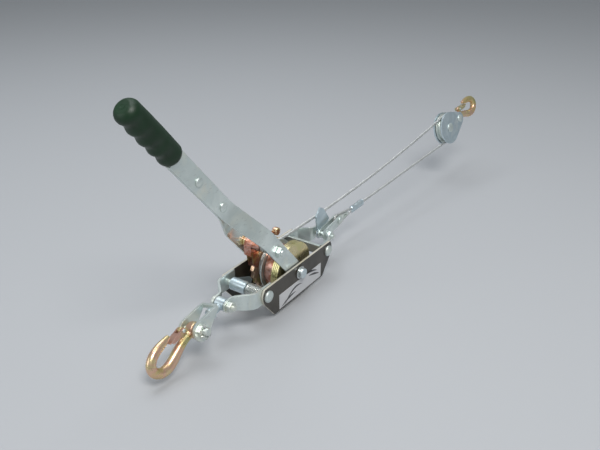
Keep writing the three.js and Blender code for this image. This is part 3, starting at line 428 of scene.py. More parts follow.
EDGE_CLOUDS = ((0.3, (0.80, 0.76, 0.66)), (0.7, (0.66, 0.62, 0.52)))
SPRING_CLOUDS = ((0.3, (0.7, 0.72, 0.7)), (0.7, (0.5, 0.52, 0.5)))

ZINC = Plated("bright zinc", Slot.ZINC, ZINC_CLOUDS)
BLUE_ZINC = Plated("blue zinc", Slot.ZINC, BLUE_CLOUDS, 36.0)
EDGE = Plated("bare sheet edge", Slot.ZINC, EDGE_CLOUDS, 60.0, (0.3, 0.45), 0.5)
GOLD = Plated("yellow zinc", Slot.GOLD, GOLD_CLOUDS, 30.0, (0.24, 0.4), 0.9, 0.1, (1.0, 1.0, 1.8))
ROSE = Plated("iridescent zinc", Slot.GOLD, ROSE_CLOUDS, 46.0, (0.24, 0.4), 0.9, 0.08)
OLIVE = Plated("olive zinc", Slot.GOLD, OLIVE_CLOUDS, 26.0, (0.22, 0.36), 0.9, 0.05)
COPPER = Plated("copper toned zinc", Slot.GOLD, COPPER_CLOUDS, 34.0, (0.26, 0.42), 0.9, 0.08)
SPRING = Plated("spring steel", Slot.ZINC, SPRING_CLOUDS, 80.0, (0.2, 0.34))
ENAMEL = Enamel("dark enamel", Slot.PLATE)
VINYL = Vinyl("green vinyl", Slot.GRIP)
ROPE = WireRope("wire rope", Slot.CABLE)
LABEL = PrintedLabel("printed label", Slot.LABEL)


# ------------------------------------------------------------------ workshop
def local_frame(origin: Vector, along: Vector, across: Vector) -> Matrix:
    """Return the millimetre frame of a sub-assembly.

    Args:
        origin: its origin in the shared frame, in metres.
        along: its X direction.
        across: its Y direction.

    Returns:
        A matrix from local millimetres to shared metres.
    """
    x = along.normalized()
    z = x.cross(across).normalized()
    y = z.cross(x)
    basis = Matrix((x, y, z)).transposed().to_4x4()
    return Matrix.Translation(origin) @ basis @ Matrix.Scale(MM, 4)


def shift(x: float = 0.0, y: float = 0.0, z: float = 0.0) -> Matrix:
    """Return a move, in the local frame's own unit."""
    return Matrix.Translation((x, y, z))


def turn(angle: float, axis: str = "Y") -> Matrix:
    """Return a turn by degrees about a local axis."""
    return Matrix.Rotation(math.radians(angle), 4, axis)


def joint(name: str) -> dict:
    """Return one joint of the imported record."""
    return next(entry for entry in frame["joints"] if entry["name"] == name)


def angle_between(edge: bmesh.types.BMEdge) -> float:
    """Return how far an edge folds, in degrees."""
    return math.degrees(edge.calc_face_angle(0.0))


def round_edges(bm: bmesh.types.BMesh, edges: Sequence[bmesh.types.BMEdge], width: float,
                segments: int) -> None:
    """Round some edges, in the mesh's own unit."""
    bmesh.ops.bevel(bm, geom=edges, offset=width, segments=segments, profile=0.5, affect="EDGES",
                    clamp_overlap=True, material=-1)


def soften(bm: bmesh.types.BMesh, width: float, segments: int = 2,
           sharper_than: float = SHARP) -> None:
    """Round every sharp edge, in the mesh's own unit.

    Args:
        bm: the shape.
        width: how far its edges are rounded.
        segments: how many facets round an edge.
        sharper_than: degrees that an edge has to fold.
    """
    sharp = [edge for edge in bm.edges
             if len(edge.link_faces) == 2 and angle_between(edge) > sharper_than]
    round_edges(bm, sharp, width, segments)


def move_shape(bm: bmesh.types.BMesh, x: float = 0.0, y: float = 0.0, z: float = 0.0) -> None:
    """Move a whole shape, in its own unit."""
    bmesh.ops.translate(bm, verts=bm.verts, vec=(x, y, z))


def turn_shape(bm: bmesh.types.BMesh, angle: float, axis: str) -> None:
    """Turn a whole shape by degrees about an axis through its origin."""
    bmesh.ops.rotate(bm, verts=bm.verts, cent=(0, 0, 0), matrix=turn(angle, axis).to_3x3())


def block(size: Sequence[float], middle: Sequence[float]) -> bmesh.types.BMesh:
    """Return a plain block of a size, about its middle.

    Args:
        size: its length, width and height.
        middle: where its middle stands.

    Returns:
        The block.
    """
    bm = bmesh.new()
    bmesh.ops.create_cube(bm, size=1.0)
    bmesh.ops.scale(bm, verts=bm.verts, vec=size)
    move_shape(bm, *middle)
    return bm


def tidy(bm: bmesh.types.BMesh, merge: float) -> None:
    """Close a shell's seams and turn its faces outwards.

    Args:
        bm: the shell.
        merge: how near two corners are made one.
    """
    bmesh.ops.remove_doubles(bm, verts=bm.verts, dist=merge)
    bmesh.ops.dissolve_degenerate(bm, dist=merge, edges=bm.edges)
    bmesh.ops.recalc_face_normals(bm, faces=bm.faces)


def deliver(bm: bmesh.types.BMesh, name: str, body: Optional[str], finish: Finish, place: Matrix,
            replaces: Sequence[str] = (), edge_finish: Optional[Finish] = None) -> bpy.types.Object:
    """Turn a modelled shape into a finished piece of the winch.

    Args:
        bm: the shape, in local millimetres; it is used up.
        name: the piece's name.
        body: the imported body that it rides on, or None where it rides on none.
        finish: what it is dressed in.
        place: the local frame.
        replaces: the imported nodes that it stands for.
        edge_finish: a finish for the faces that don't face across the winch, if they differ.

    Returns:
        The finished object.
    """
    bm.transform(place)
    if place.determinant() < 0:
        bmesh.ops.reverse_faces(bm, faces=bm.faces)
    if edge_finish is not None:
        for face in bm.faces:
            face.material_index = 0 if abs(face.normal.y) > 0.5 else 1
    for face in bm.faces:
        face.smooth = True
    mesh = bpy.data.meshes.new(name)
    bm.to_mesh(mesh)
    bm.free()
    mesh.set_sharp_from_angle(angle=math.radians(SHADED_SHARP))
    mesh.materials.append(finish.material())
    if edge_finish is not None:
        mesh.materials.append(edge_finish.material())
    piece = bpy.data.objects.new(name, mesh)
    bpy.context.scene.collection.objects.link(piece)
    weighted = piece.modifiers.new("even shading", "WEIGHTED_NORMAL")
    weighted.keep_sharp = True
    if body is not None:
        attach(piece, body)
    if replaces:
        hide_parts(*replaces)
    LOG.info("%s: %d faces, in %s, on %s", name, len(mesh.polygons), finish.name,
             body or "two bodies")
    return piece


def refine(node: str, finish: Finish, width: float = 0.5, bend: float = 0.0,
           edge_finish: Optional[Finish] = None) -> bpy.types.Object:
    """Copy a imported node, merge it, round its folds and edges, and let the copy stand for it.

    Args:
        node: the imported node's name.
        finish: what it is dressed in.
        width: how far the sharp edges are rounded, in millimetres.
        bend: how far the long folds of a bent bar are rounded.
        edge_finish: a finish for its edges, if it differs.

    Returns:
        The refined object.
    """
    source = frame["nodes"][node]
    bm = bmesh.new()
    bm.from_mesh(source.data)
    bm.transform(Matrix.Scale(1 / MM, 4))
    bmesh.ops.remove_doubles(bm, verts=bm.verts, dist=WELD)
    bmesh.ops.dissolve_limit(bm, angle_limit=math.radians(1.0), verts=bm.verts, edges=bm.edges)
    if bend > 0:
        folds = [edge for edge in bm.edges if len(edge.link_faces) == 2
                 and FOLD_ANGLES[0] < angle_between(edge) < FOLD_ANGLES[1]
                 and edge.calc_length() > FOLD_LENGTH]
        round_edges(bm, folds, bend, 6)
    soften(bm, width)
    return deliver(bm, f"{node}_finished", source["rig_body"], finish, Matrix.Scale(MM, 4), (node,),
                   edge_finish)


def lathe(profile: Sequence[tuple], steps: int = 48, closed: bool = False) -> bmesh.types.BMesh:
    """Turn a profile about the local Y axis.

    Args:
        profile: (radius, place across) corners.
        steps: how many facets go round.
        closed: whether the profile's last corner joins its first, as a ring's does.

    Returns:
        The turned shape.
    """
    bm = bmesh.new()
    corners = [bm.verts.new((radius, y, 0)) for radius, y in profile]
    for first, second in zip(corners, corners[1:]):
        bm.edges.new((first, second))
    if closed:
        bm.edges.new((corners[-1], corners[0]))
    bmesh.ops.spin(bm, geom=bm.verts[:] + bm.edges[:], cent=(0, 0, 0), axis=(0, 1, 0),
                   angle=2 * math.pi, steps=steps, use_merge=True)
    tidy(bm, WELD)
    return bm


def ring(inner: float, outer: float, start: float, end: float, steps: int = 48,
         edge: float = 0.4) -> bmesh.types.BMesh:
    """Return a turned ring or sleeve with broken edges.

    Args:
        inner: its bore's radius.
        outer: its outside radius.
        start: where its first face lies.
        end: where its other face lies.
        steps: how many facets go round.
        edge: how far its edges are rounded.

    Returns:
        The ring.
    """
    bm = lathe([(inner, start), (outer, start), (outer, end), (inner, end)], steps, closed=True)
    soften(bm, edge)
    return bm


def dome(radius: float, height: float, start: float, outwards: int, steps: int = 6) -> list[tuple]:
    """Return a rivet dome's profile, from its rim to its pole.

    Args:
        radius: the rim's radius.
        height: how high the dome stands.
        start: where its rim lies.
        outwards: 1 or -1, the way that it faces.
        steps: how many facets it has.

    Returns:
        (radius, place across) corners.
    """
    angles = [math.radians(90 * number / steps) for number in range(steps + 1)]
    return [(radius * math.cos(angle), start + outwards * height * math.sin(angle))
            for angle in angles]


def headed_pin(radius: float, head: float, height: float, reach: float) -> bmesh.types.BMesh:
    """Return a pin with a domed head at both ends, each bearing at a reach from the middle.

    Args:
        radius: the shank's radius.
        head: the heads' radius.
        height: how high a head stands.
        reach: how far from the middle each head bears.

    Returns:
        The turned pin.
    """
    rim = height * 0.3
    crown = height - rim
    profile = [*reversed(dome(head, crown, -reach - rim, -1)), (head, -reach), (radius, -reach),
               (radius, reach), (head, reach), *dome(head, crown, reach + rim, 1)]
    bm = lathe(profile, 56)
    soften(bm, 0.25, 2, 50)
    return bm


def thread(radius: float, start: float, end: float, pitch: float = 1.5,
           depth: float = 0.55) -> list[tuple]:
    """Return a threaded shank's profile between two places.

    Args:
        radius: the shank's radius.
        start: where the thread starts.
        end: where it ends.
        pitch: how far its turns lie apart.
        depth: how deep it is cut.

    Returns:
        (radius, place across) corners.
    """
    count = max(2, round(abs(end - start) / pitch))
    step = (end - start) / count
    profile = []
    for turn_number in range(count):
        base = start + step * turn_number
        profile += [(radius, base + step * 0.15), (radius - depth, base + step * 0.65)]
    return profile


def join(*shapes: bmesh.types.BMesh) -> bmesh.types.BMesh:
    """Put shapes of one piece together; the first one keeps them all.

    Args:
        shapes: the shapes; all but the first are used up.

    Returns:
        The first shape, with the others in it.
    """
    first = shapes[0]
    for other in shapes[1:]:
        mesh = bpy.data.meshes.new("part")
        other.to_mesh(mesh)
        other.free()
        first.from_mesh(mesh)
        bpy.data.meshes.remove(mesh)
    return first


def hex_nut(corners: float, bore: float, start: float, end: float) -> bmesh.types.BMesh:
    """Return a chamfered hexagon nut with its thread's collar, between two places.

    Args:
        corners: its radius to the corners.
        bore: its bore's radius.
        start: where its first face lies.
        end: where its other face lies.

    Returns:
        The nut.
    """
    crown, middle = 0.5, (start + end) / 2
    bm = bmesh.new()
    bmesh.ops.create_circle(bm, cap_ends=True, segments=6, radius=corners)
    turn_shape(bm, 90, "X")
    move_shape(bm, y=start)
    grown = bmesh.ops.extrude_face_region(bm, geom=bm.faces[:])["geom"]
    top = [item for item in grown if isinstance(item, bmesh.types.BMVert)]
    bmesh.ops.translate(bm, verts=top, vec=(0, end - start, 0))
    bmesh.ops.recalc_face_normals(bm, faces=bm.faces)
    for cap in [face for face in bm.faces if abs(face.normal.y) > 0.9]:
        bmesh.ops.inset_individual(bm, faces=[cap], thickness=corners * 0.1, depth=0)
    for cap in [face for face in bm.faces if abs(face.normal.y) > 0.9 and len(face.verts) == 6]:
        bmesh.ops.translate(bm, verts=cap.verts, vec=(0, math.copysign(crown, cap.normal.y), 0))
    height = end - start
    squash = Matrix.Diagonal((1, height / (height + 2 * crown), 1, 1))
    bmesh.ops.transform(bm, matrix=shift(y=middle) @ squash @ shift(y=-middle), verts=bm.verts)
    soften(bm, 0.35, 2, 25)
    tidy(bm, WELD)
    rim = bore * 1.22
    collar = [(bore, start + 0.02), (rim, start - 0.02), (rim, end + 0.02), (bore, end - 0.02)]
    return join(bm, lathe(collar, 40, closed=True))


def coil(radius: float, wire: float, start: float, end: float, turns: float, sides: int = 10,
         steps_per_turn: int = 28) -> bmesh.types.BMesh:
    """Wind a spring about the local Y axis between two places.

    Args:
        radius: the coil's mean radius.
        wire: the wire's diameter.
        start: where the coil starts.
        end: where it ends.
        turns: how many turns it has.
        sides: how many facets go round the wire.
        steps_per_turn: how many facets go along a turn.

    Returns:
        The spring.
    """
    bm = bmesh.new()
    bmesh.ops.create_circle(bm, cap_ends=True, segments=sides, radius=wire / 2)
    move_shape(bm, radius, start)
    steps = int(turns * steps_per_turn)
    bmesh.ops.spin(bm, geom=bm.verts[:] + bm.edges[:] + bm.faces[:], cent=(0, start, 0),
                   axis=(0, 1, 0), angle=-2 * math.pi * turns, steps=steps,
                   dvec=(0, (end - start) / steps, 0))
    tidy(bm, 0.001)
    return bm


def sweep(section: bmesh.types.BMesh, stations: Sequence[Matrix],
          lengths: Optional[Sequence[float]] = None) -> bmesh.types.BMesh:
    """Draw a section, made in the XY plane, along a row of stations.

    Args:
        section: a loop of edges, without a face; it is used up.
        stations: where the section stands in turn.
        lengths: the length along the piece at each station, kept as the attribute "along".

    Returns:
        The closed shape.
    """
    bm = section
    along = bm.verts.layers.float.new("along") if lengths is not None else None
    bmesh.ops.transform(bm, matrix=stations[0], verts=bm.verts)
    loop_edges, loop_verts = bm.edges[:], bm.verts[:]
    if along is not None:
        for vert in loop_verts:
            vert[along] = lengths[0]
    bmesh.ops.contextual_create(bm, geom=loop_edges)
    for index in range(1, len(stations)):
        grown = bmesh.ops.extrude_edge_only(bm, edges=loop_edges)["geom"]
        loop_verts = [item for item in grown if isinstance(item, bmesh.types.BMVert)]
        loop_edges = [item for item in grown if isinstance(item, bmesh.types.BMEdge)
                      and all(vert in set(loop_verts) for vert in item.verts)]
        onwards = stations[index] @ stations[index - 1].inverted()
        bmesh.ops.transform(bm, matrix=onwards, verts=loop_verts)
        if along is not None:
            for vert in loop_verts:
                vert[along] = lengths[index]
    bmesh.ops.contextual_create(bm, geom=loop_edges)
    bmesh.ops.recalc_face_normals(bm, faces=bm.faces)
    return bm


def circle_section(radius: float = 1.0, segments: int = 24) -> bmesh.types.BMesh:
    """Return a round section for a sweep."""
    bm = bmesh.new()
    bmesh.ops.create_circle(bm, cap_ends=False, segments=segments, radius=radius)
    return bm


def arc(radius: float, start: float, span: float, steps: int,
        across: tuple = (0.0, 0.0)) -> list[Vector]:
    """Return points round the local Y axis.

    Args:
        radius: how far they stand from the axis.
        start: the first one's place, in degrees from local X.
        span: how far round they go, in degrees.
        steps: how many steps they take.
        across: where the first and the last one stand along the axis.

    Returns:
        The points.
    """
    points = []
    for step in range(steps + 1):
        angle = math.radians(start + span * step / steps)
        y = across[0] + (across[1] - across[0]) * step / steps
        points.append(Vector((radius * math.cos(angle), y, radius * math.sin(angle))))
    return points


def smooth_line(points: Sequence[Vector], steps: int) -> list[Vector]:
    """Return a smooth line of steps + 1 points, evenly spaced, through the given ones.

    Args:
        points: the points that it passes through.
        steps: how many steps it takes.

    Returns:
        The line's points.
    """
    count, parts = len(points), 24
    fine: list[Vector] = []
    for index in range(count - 1):
        before = points[max(index - 1, 0)]
        start, end = points[index], points[index + 1]
        after = points[min(index + 2, count - 1)]
        for part in range(parts):
            t = part / parts
            fine.append(0.5 * ((2 * start) + (end - before) * t
                               + (2 * before - 5 * start + 4 * end - after) * t * t
                               + (3 * start - before - 3 * end + after) * t ** 3))
    fine.append(points[-1].copy())
    return even_line(fine, steps)


def even_line(fine: Sequence[Vector], steps: int) -> list[Vector]:
    """Return steps + 1 points at even spacing along a fine line.

    Args:
        fine: the fine line's points.
        steps: how many steps are wanted.

    Returns:
        The evenly spaced points.
    """
    runs = [0.0]
    for first, second in zip(fine, fine[1:]):
        runs.append(runs[-1] + (second - first).length)
    line, place = [], 0
    for step in range(steps + 1):
        wanted = runs[-1] * step / steps
        while place < len(fine) - 2 and runs[place + 1] < wanted:
            place += 1
        span = max(runs[place + 1] - runs[place], 1e-12)
        line.append(fine[place].lerp(fine[place + 1], min(1.0, (wanted - runs[place]) / span)))
    return line


def stations_along(line: Sequence[Vector], twist: float = 0.0, up: Vector = Vector((0, 0, 1)),
                   sizes: Optional[Sequence[tuple]] = None) -> tuple[list[Matrix], list[float]]:
    """Stand a section square to a line at each of its points.

    Args:
        line: the points.
        twist: radians of turn per unit of length.
        up: where the section's Y side starts out.
        sizes: the section's (width, height) at each point.

    Returns:
        The stations, and the length along the line at each.
    """
    stations, lengths, run = [], [], 0.0
    side = None
    for index, point in enumerate(line):
        after = line[min(index + 1, len(line) - 1)]
        before = line[max(index - 1, 0)]
        forward = (after - before).normalized()
        if side is None:
            side = up.cross(forward).normalized()
        side = (side - forward * side.dot(forward)).normalized()
        rise = forward.cross(side)
        if index:
            run += (point - line[index - 1]).length
        basis = Matrix((side, rise, forward)).transposed().to_4x4()
        width, height = sizes[index] if sizes is not None else (1.0, 1.0)
        size = Matrix.Diagonal((width, height, (width + height) / 2, 1.0))
        stand = Matrix.Translation(point) @ basis @ Matrix.Rotation(twist * run, 4, "Z")
        stations.append(stand @ size)
        lengths.append(run)
    return stations, lengths


def fused(shape: bmesh.types.BMesh, voxel: float, smoothing: int) -> bmesh.types.BMesh:
    """Melt overlapping shells into one forged body.

    Args:
        shape: the shells, in millimetres; it is used up.
        voxel: how fine the body is, in millimetres.
        smoothing: how many times the seams are eased.

    Returns:
        The single body.
    """
    mesh = bpy.data.meshes.new("blank")
    shape.to_mesh(mesh)
    shape.free()
    blank = bpy.data.objects.new("blank", mesh)
    bpy.context.scene.collection.objects.link(blank)
    melt = blank.modifiers.new("melt", "REMESH")
    melt.mode, melt.voxel_size = "VOXEL", voxel
    ease = blank.modifiers.new("ease", "SMOOTH")
    ease.factor, ease.iterations = 0.5, smoothing
    made = blank.evaluated_get(bpy.context.evaluated_depsgraph_get()).to_mesh()
    bm = bmesh.new()
    bm.from_mesh(made)
    bpy.data.objects.remove(blank)
    bpy.data.meshes.remove(mesh)
    return bm


# ------------------------------------------------------------------ rope
@dataclass(frozen=True)
class RopeStock:
    """Six strands laid round a core."""

    diameter: float = 4.5
    strands: int = 6
    points_per_strand: int = 6
    lay_length: float = 29.0
    step: float = 2.4

    def section(self) -> bmesh.types.BMesh:
        """Return the rope's lobed outline."""
        bm = circle_section(1.0, self.strands * self.points_per_strand)
        strand = self.diameter / 6
        half_lobe = math.pi / self.strands
        for vert in bm.verts:
            angle = math.atan2(vert.co.y, vert.co.x) % (2 * half_lobe) - half_lobe
            reach = 2 * strand * math.cos(angle)
            bulge = math.sqrt(max(strand ** 2 - (2 * strand * math.sin(angle)) ** 2, 0.0))
            vert.co *= reach + bulge
        return bm

    def laid(self, fine: Sequence[Vector]) -> bmesh.types.BMesh:
        """Lay the rope along a fine line, in millimetres.

        Args:
            fine: the line's points.

        Returns:
            The rope.
        """
        length = sum((second - first).length for first, second in zip(fine, fine[1:]))
        line = even_line(fine, max(4, round(length / self.step)))
        stations, lengths = stations_along(line, 2 * math.pi / self.lay_length)
        return sweep(self.section(), stations, [run * MM for run in lengths])


# ------------------------------------------------------------------ sub-assemblies
@dataclass(frozen=True)
class Station:
    """The local frames that the sub-assemblies are laid out in."""

    axle: Matrix
    handle: Matrix
    rear: Matrix
    block: Matrix

    @staticmethod
    def from_record(lean: float = 49.5) -> "Station":
        """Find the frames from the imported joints.

        Args:
            lean: how far the handle stands above level, in degrees.

        Returns:
            The frames of the axle, the handle, the rear chain and the block.
        """
        axle_place = Vector(joint("drum_spin")["pos_m"])
        axle_place.y = 0.0
        handle_line = Vector((-math.cos(math.radians(lean)), 0, math.sin(math.radians(lean))))
        yoke = Vector(joint("rear_yoke_hinge")["pos_m"])
        chain = Vector(joint("rear_swivel_spin")["axis"])
        hook_axis = Vector(joint("rear_hook_pivot")["axis"])
        sheave = Vector(joint("sheave_spin")["pos_m"])
        nose = Vector(joint("front_hook_pivot")["pos_m"])
        block_axis = Vector(joint("front_hook_pivot")["axis"])
        return Station(
            axle=local_frame(axle_place, Vector((1, 0, 0)), ACROSS),
            handle=local_frame(axle_place, handle_line, -ACROSS),
            rear=local_frame(yoke, chain, hook_axis),
            block=local_frame(sheave, nose - sheave, block_axis),
        )


@dataclass
class WinchFrame:
    """Two enamelled side plates, their bolts, straps, tie bar and axle."""

    place: Matrix
    outside: float = 36.0
    bolt_reach: float = 76.0
    rear_throat: tuple = (-128.0, 4.0)
    front_throat: tuple = (116.0, 2.0)
    rear_gap: float = 16.0
    front_gap: float = 18.0
    bend: float = 5.0
    slack: float = 0.1
    axle_radius: float = 7.5
    axle_stickout: float = 8.0
    axle_head: float = 11.0
    groove: tuple = (0.9, 2.3)
    groove_radius: float = 6.9
    strap: float = 3.0
    yoke_radius: float = 4.0
    yoke_head: float = 7.0

    def build(self) -> None:
        """Make every fixed piece of the frame."""
        for side in ("right", "left"):
            refine(f"side_plate_{side}", ENAMEL, 0.45, edge_finish=EDGE)
            refine(f"rear_strap_{side}", ZINC, 0.6, self.bend)
            refine(f"front_strap_{side}", ZINC, 0.6, self.bend)
        refine("name_plate", LABEL, 0.15)
        refine("front_tie_bar", ZINC, 0.5)
        refine("cable_guard", BLUE_ZINC, 0.5)
        self.cross_bolts()
        self.axle()
        self.yoke_bolt("rear", self.rear_throat, self.rear_gap)
        self.yoke_bolt("front", self.front_throat, self.front_gap)

    def cross_bolts(self) -> None:
        """Set the two riveted cross bolts."""
        for where, side in (("rear", -1), ("front", 1)):
            pin = headed_pin(5.0, 8.5, 5.0, self.outside + self.slack)
            deliver(pin, f"{where}_cross_bolt_turned", "frame", ZINC,
                    self.place @ shift(side * self.bolt_reach), (f"{where}_cross_bolt",))

    def axle(self) -> None:
        """Turn the drum axle, with a retaining ring in its groove beside the near plate."""
        start, end = -self.outside - self.axle_stickout, self.outside + self.slack
        near, far = (-self.outside - wall for wall in self.groove)
        radius, head, rim = self.axle_radius, self.axle_head, end + 2.6
        profile = [(0, start), (radius - 1.2, start), (radius - 0.3, start + 0.4),
                   (radius, start + 1.2), (radius, far), (self.groove_radius, far),
                   (self.groove_radius, near), (radius, near), (radius, end), (head, end),
                   (head, rim), *dome(head, 2.2, rim, 1)[1:]]
        deliver(lathe(profile), "drum_axle_turned", "frame", BLUE_ZINC, self.place, ("drum_axle",))
        clip = ring(self.groove_radius + 0.05, 9.4, far + 0.2, near - 0.1, edge=0.25)
        deliver(clip, "axle_retaining_ring", "frame", SPRING, self.place)

    def yoke_bolt(self, where: str, throat: tuple, gap: float) -> None:
        """Turn one yoke bolt and fit its nut.

        Args:
            where: the end of the winch that it is at.
            throat: its place along and above the axle.
            gap: the straps' distance there.
        """
        outer = gap / 2 + self.strap
        bearing, radius, head = outer + self.slack, self.yoke_radius, self.yoke_head
        place = self.place @ shift(throat[0], 0, throat[1])
        profile = [(0, -outer - 11), (radius - 0.8, -outer - 11),
                   *thread(radius, -outer - 10.4, -outer + 1, 1.25), (radius, bearing),
                   (head, bearing), (head, outer + 2.2), *dome(head, 2.2, outer + 2.3, 1)[1:]]
        deliver(lathe(profile, 40), f"{where}_yoke_bolt_turned", "frame", ZINC, place,
                (f"{where}_yoke_bolt",))
        deliver(hex_nut(7.6, radius + 0.3, -outer - 6.6, -bearing), f"{where}_yoke_nut_cut",
                "frame", ZINC, place, (f"{where}_yoke_nut",))


@dataclass
class Drum:
    """The laminated cheek, hub, flange, spool, ratchet wheel, and the rope wound on the spool."""

    place: Matrix
    rope: RopeStock = field(default_factory=RopeStock)
    bore: float = 7.8
    spool: float = 14.0
    wound: float = 28.0
    spool_ends: tuple = (6.3, 17.7)
    hub_radius: float = 32.0
    hub_ends: tuple = (-14.7, 3.7)
    flange_radius: float = 38.0
    flange_ends: tuple = (4.0, 6.0)

    def build(self) -> None:
        """Make the pieces that turn on the axle."""
        self.cheek()
        radius, (start, end), ease = self.hub_radius, self.hub_ends, 0.8
        hub = lathe([(self.bore, start), (radius - ease, start), (radius, start + ease),
                     (radius, end - ease), (radius - ease, end), (self.bore, end)], 96, closed=True)
        deliver(hub, "drum_hub_turned", "drum", ROSE, self.place, ("drum_hub",))
        deliver(ring(self.bore, self.flange_radius, *self.flange_ends, 96, 0.5),
                "drum_flange_turned", "drum", ZINC, self.place, ("drum_flange",))
        deliver(ring(self.bore, self.spool, *self.spool_ends), "cable_spool_turned", "drum", OLIVE,
                self.place, ("cable_spool",))
        refine("ratchet_wheel", GOLD, 0.35)
        self.windings()

    def cheek(self, outer: float = 26.0, plate: float = 2.75, radius: float = 42.0,
              plates: int = 4) -> None:
        """Stack the cheek's plates; each seam is a narrow groove and each rim is eased.

        Args:
            outer: where the outermost plate's face stands, from the middle.
            plate: one plate's thickness.
            radius: the plates' radius.
            plates: how many there are.
        """
        rim, eased, seam = radius - 0.5, radius - 0.35, radius - 1.1
        profile = [(self.bore, -outer), (rim, -outer)]
        for number in range(plates):
            start = -outer + number * plate
            profile += [(eased, start + 0.12), (radius, start + 0.5), (radius, start + plate - 0.5),
                        (eased, start + plate - 0.12)]
            if number < plates - 1:
                profile.append((seam, start + plate))
        profile += [(rim, -outer + plates * plate), (self.bore, -outer + plates * plate)]
        deliver(lathe(profile, 128, closed=True), "laminated_cheek_stacked", "drum", OLIVE,
                self.place, ("laminated_cheek",))

    def windings(self, turns: int = 2) -> None:
        """Wind the top layer of rope over a sleeve that stands for the layers below it.

        Args:
            turns: how many turns show.
        """
        half = self.rope.diameter / 2
        first, last = self.spool_ends
        fine = arc(self.wound - half, 90, 360 * turns, 36 * turns, (last - half, first + half))
        under = ring(self.spool + 0.3, self.wound - self.rope.diameter * 0.8, first, last, 72)
        deliver(join(self.rope.laid(fine), under), "wound_rope", "drum", ROPE, self.place,
                ("cable_on_drum",))


@dataclass
class Handle:
    """The two bent bars, their rivets, bushes and pawl bolt, and the moulded grip."""

    place: Matrix
    length: float = 391.0
    grip_length: float = 92.0
    grip_radius: float = 14.5
    rivets: tuple = (184.0, 245.0)
    pawl_bolt: float = 68.0
    spread: float = 30.0
    bend: float = 9.0
    bolt_radius: float = 5.0
    bolt_head: float = 8.0
    waves: int = 4
    wave_depth: float = 1.25
    wave_ends: tuple = (0.08, 0.9)
    swell: float = 0.7

    def build(self) -> None:
        """Make the pieces that swing with the handle."""
        for side in ("right", "left"):
            refine(f"handle_bar_{side}", ZINC, 0.55, self.bend)
            refine(f"handle_bush_{side}", GOLD, 0.4)
        for number, along in enumerate(self.rivets, start=1):
            deliver(headed_pin(3.5, 6.0, 3.0, 3.25), f"handle_rivet_{number}_set", "handle", ZINC,
                    self.place @ shift(along), (f"handle_rivet_{number}",))
        self.pawl_fixings()
        self.grip()

    def pawl_fixings(self) -> None:
        """Turn the drive pawl's bolt, nut, spring and bush."""
        outer = self.spread + 1.5
        place = self.place @ shift(self.pawl_bolt)
        radius, head, end = self.bolt_radius, self.bolt_head, outer + 8
        bolt = lathe([*reversed(dome(head, 2.4, -outer - 1.5, -1)), (head, -outer - 0.1),
                      (radius, -outer - 0.1), *thread(radius, outer - 2, end - 0.4),
                      (radius - 0.8, end), (0, end)])
        deliver(bolt, "drive_pawl_bolt_turned", "handle", ZINC, place, ("drive_pawl_bolt",))
        bore = radius + 0.3
        deliver(hex_nut(8.5, bore, outer + 0.1, outer + 6), "drive_pawl_nut_cut", "handle", ZINC,
                place, ("drive_pawl_nut",))
        inside, pawl_side = self.spread - 1.8, 21.2
        deliver(coil(6.7, 1.6, 4.6, inside - 0.9, 8.5), "drive_pawl_spring_wound", "handle", SPRING,
                place, ("drive_pawl_spring",))
        collar = ring(bore, 8.0, -inside, -inside + 3)
        deliver(join(collar, ring(bore, 6.8, -inside + 3.1, -pawl_side)), "drive_pawl_bush_turned",
                "handle", GOLD, place, ("drive_pawl_bush",))

    def grip_section(self, part: float) -> tuple[float, float, float]:
        """Size the grip's section.

        Args:
            part: its place along the grip, from 0 at the guard to 1 at the butt.

        Returns:
            The plain radius, the swell on it, and the depth of the finger wave there.
        """
        first, last = self.wave_ends
        radius = self.grip_radius
        if part < 0.06:
            radius -= 2.6 * (1 - part / 0.06) ** 2
        if part > last:
            fall = (part - last) / 0.1
            radius *= math.sqrt(max(1 - (fall * 0.86) ** 2, 0.02))
        wave = 0.0
        if first < part < last:
            turns = self.waves * (part - first) / (last - first)
            wave = self.wave_depth * (1 - math.cos(2 * math.pi * turns)) / 2
            wave *= min(1.0, (last - part) / 0.03)
        return radius, self.swell * math.sin(math.pi * part), wave

    def grip(self, rings: int = 72) -> None:
        """Mould the grip: four finger waves on one side, a flared guard and a rounded butt.

        Args:
            rings: how many steps its length is made in.
        """
        start = self.length - self.grip_length
        stations = []
        for number in range(rings + 1):
            part = number / rings
            radius, swell, wave = self.grip_section(part)
            stations.append(shift(start + self.grip_length * part, 0, wave * 0.9) @ turn(90)
                            @ Matrix.Diagonal((radius + swell - wave,
                                               radius + swell * 0.4 - wave * 0.35, radius, 1)))
        body = sweep(circle_section(1.0, 56), stations)
        dimple = lathe([(0, -0.4), (2.6, -0.4), (3.6, 0.5), (2.2, 0.55), (1.7, 0.2), (0, 0.1)], 32)
        turn_shape(dimple, -90, "Z")
        move_shape(dimple, self.length - 0.3)
        deliver(join(body, dimple), "moulded_grip", "handle", VINYL, self.place, ("hand_grip",))


@dataclass
class Pawls:
    """The two pawls, the sleeve on the knob, and the stop pawl's spring."""

    place: Matrix
    bolt_reach: float = 76.0
    knob: tuple = (47.0, 6.3, 0.5)

    def build(self) -> None:
        """Make both pawls, the knob's sleeve and the spring."""
        refine("drive_pawl", ROSE, 0.5)
        pivot = self.place.inverted() @ Vector(joint("drive_pawl_pivot")["pos_m"])
        x, y, z = self.knob
        deliver(ring(3.0, 5.8, -3.8, 3.8, edge=0.9), "knob_sleeve", "drive_pawl", GOLD,
                self.place @ shift(pivot.x + x, y, pivot.z + z))
        refine("stop_pawl", BLUE_ZINC, 0.5)
        deliver(coil(8.2, 1.7, -28.5, -2.3, 11.0), "stop_pawl_spring_wound", "frame", SPRING,
                self.place @ shift(-self.bolt_reach), ("stop_pawl_spring",))


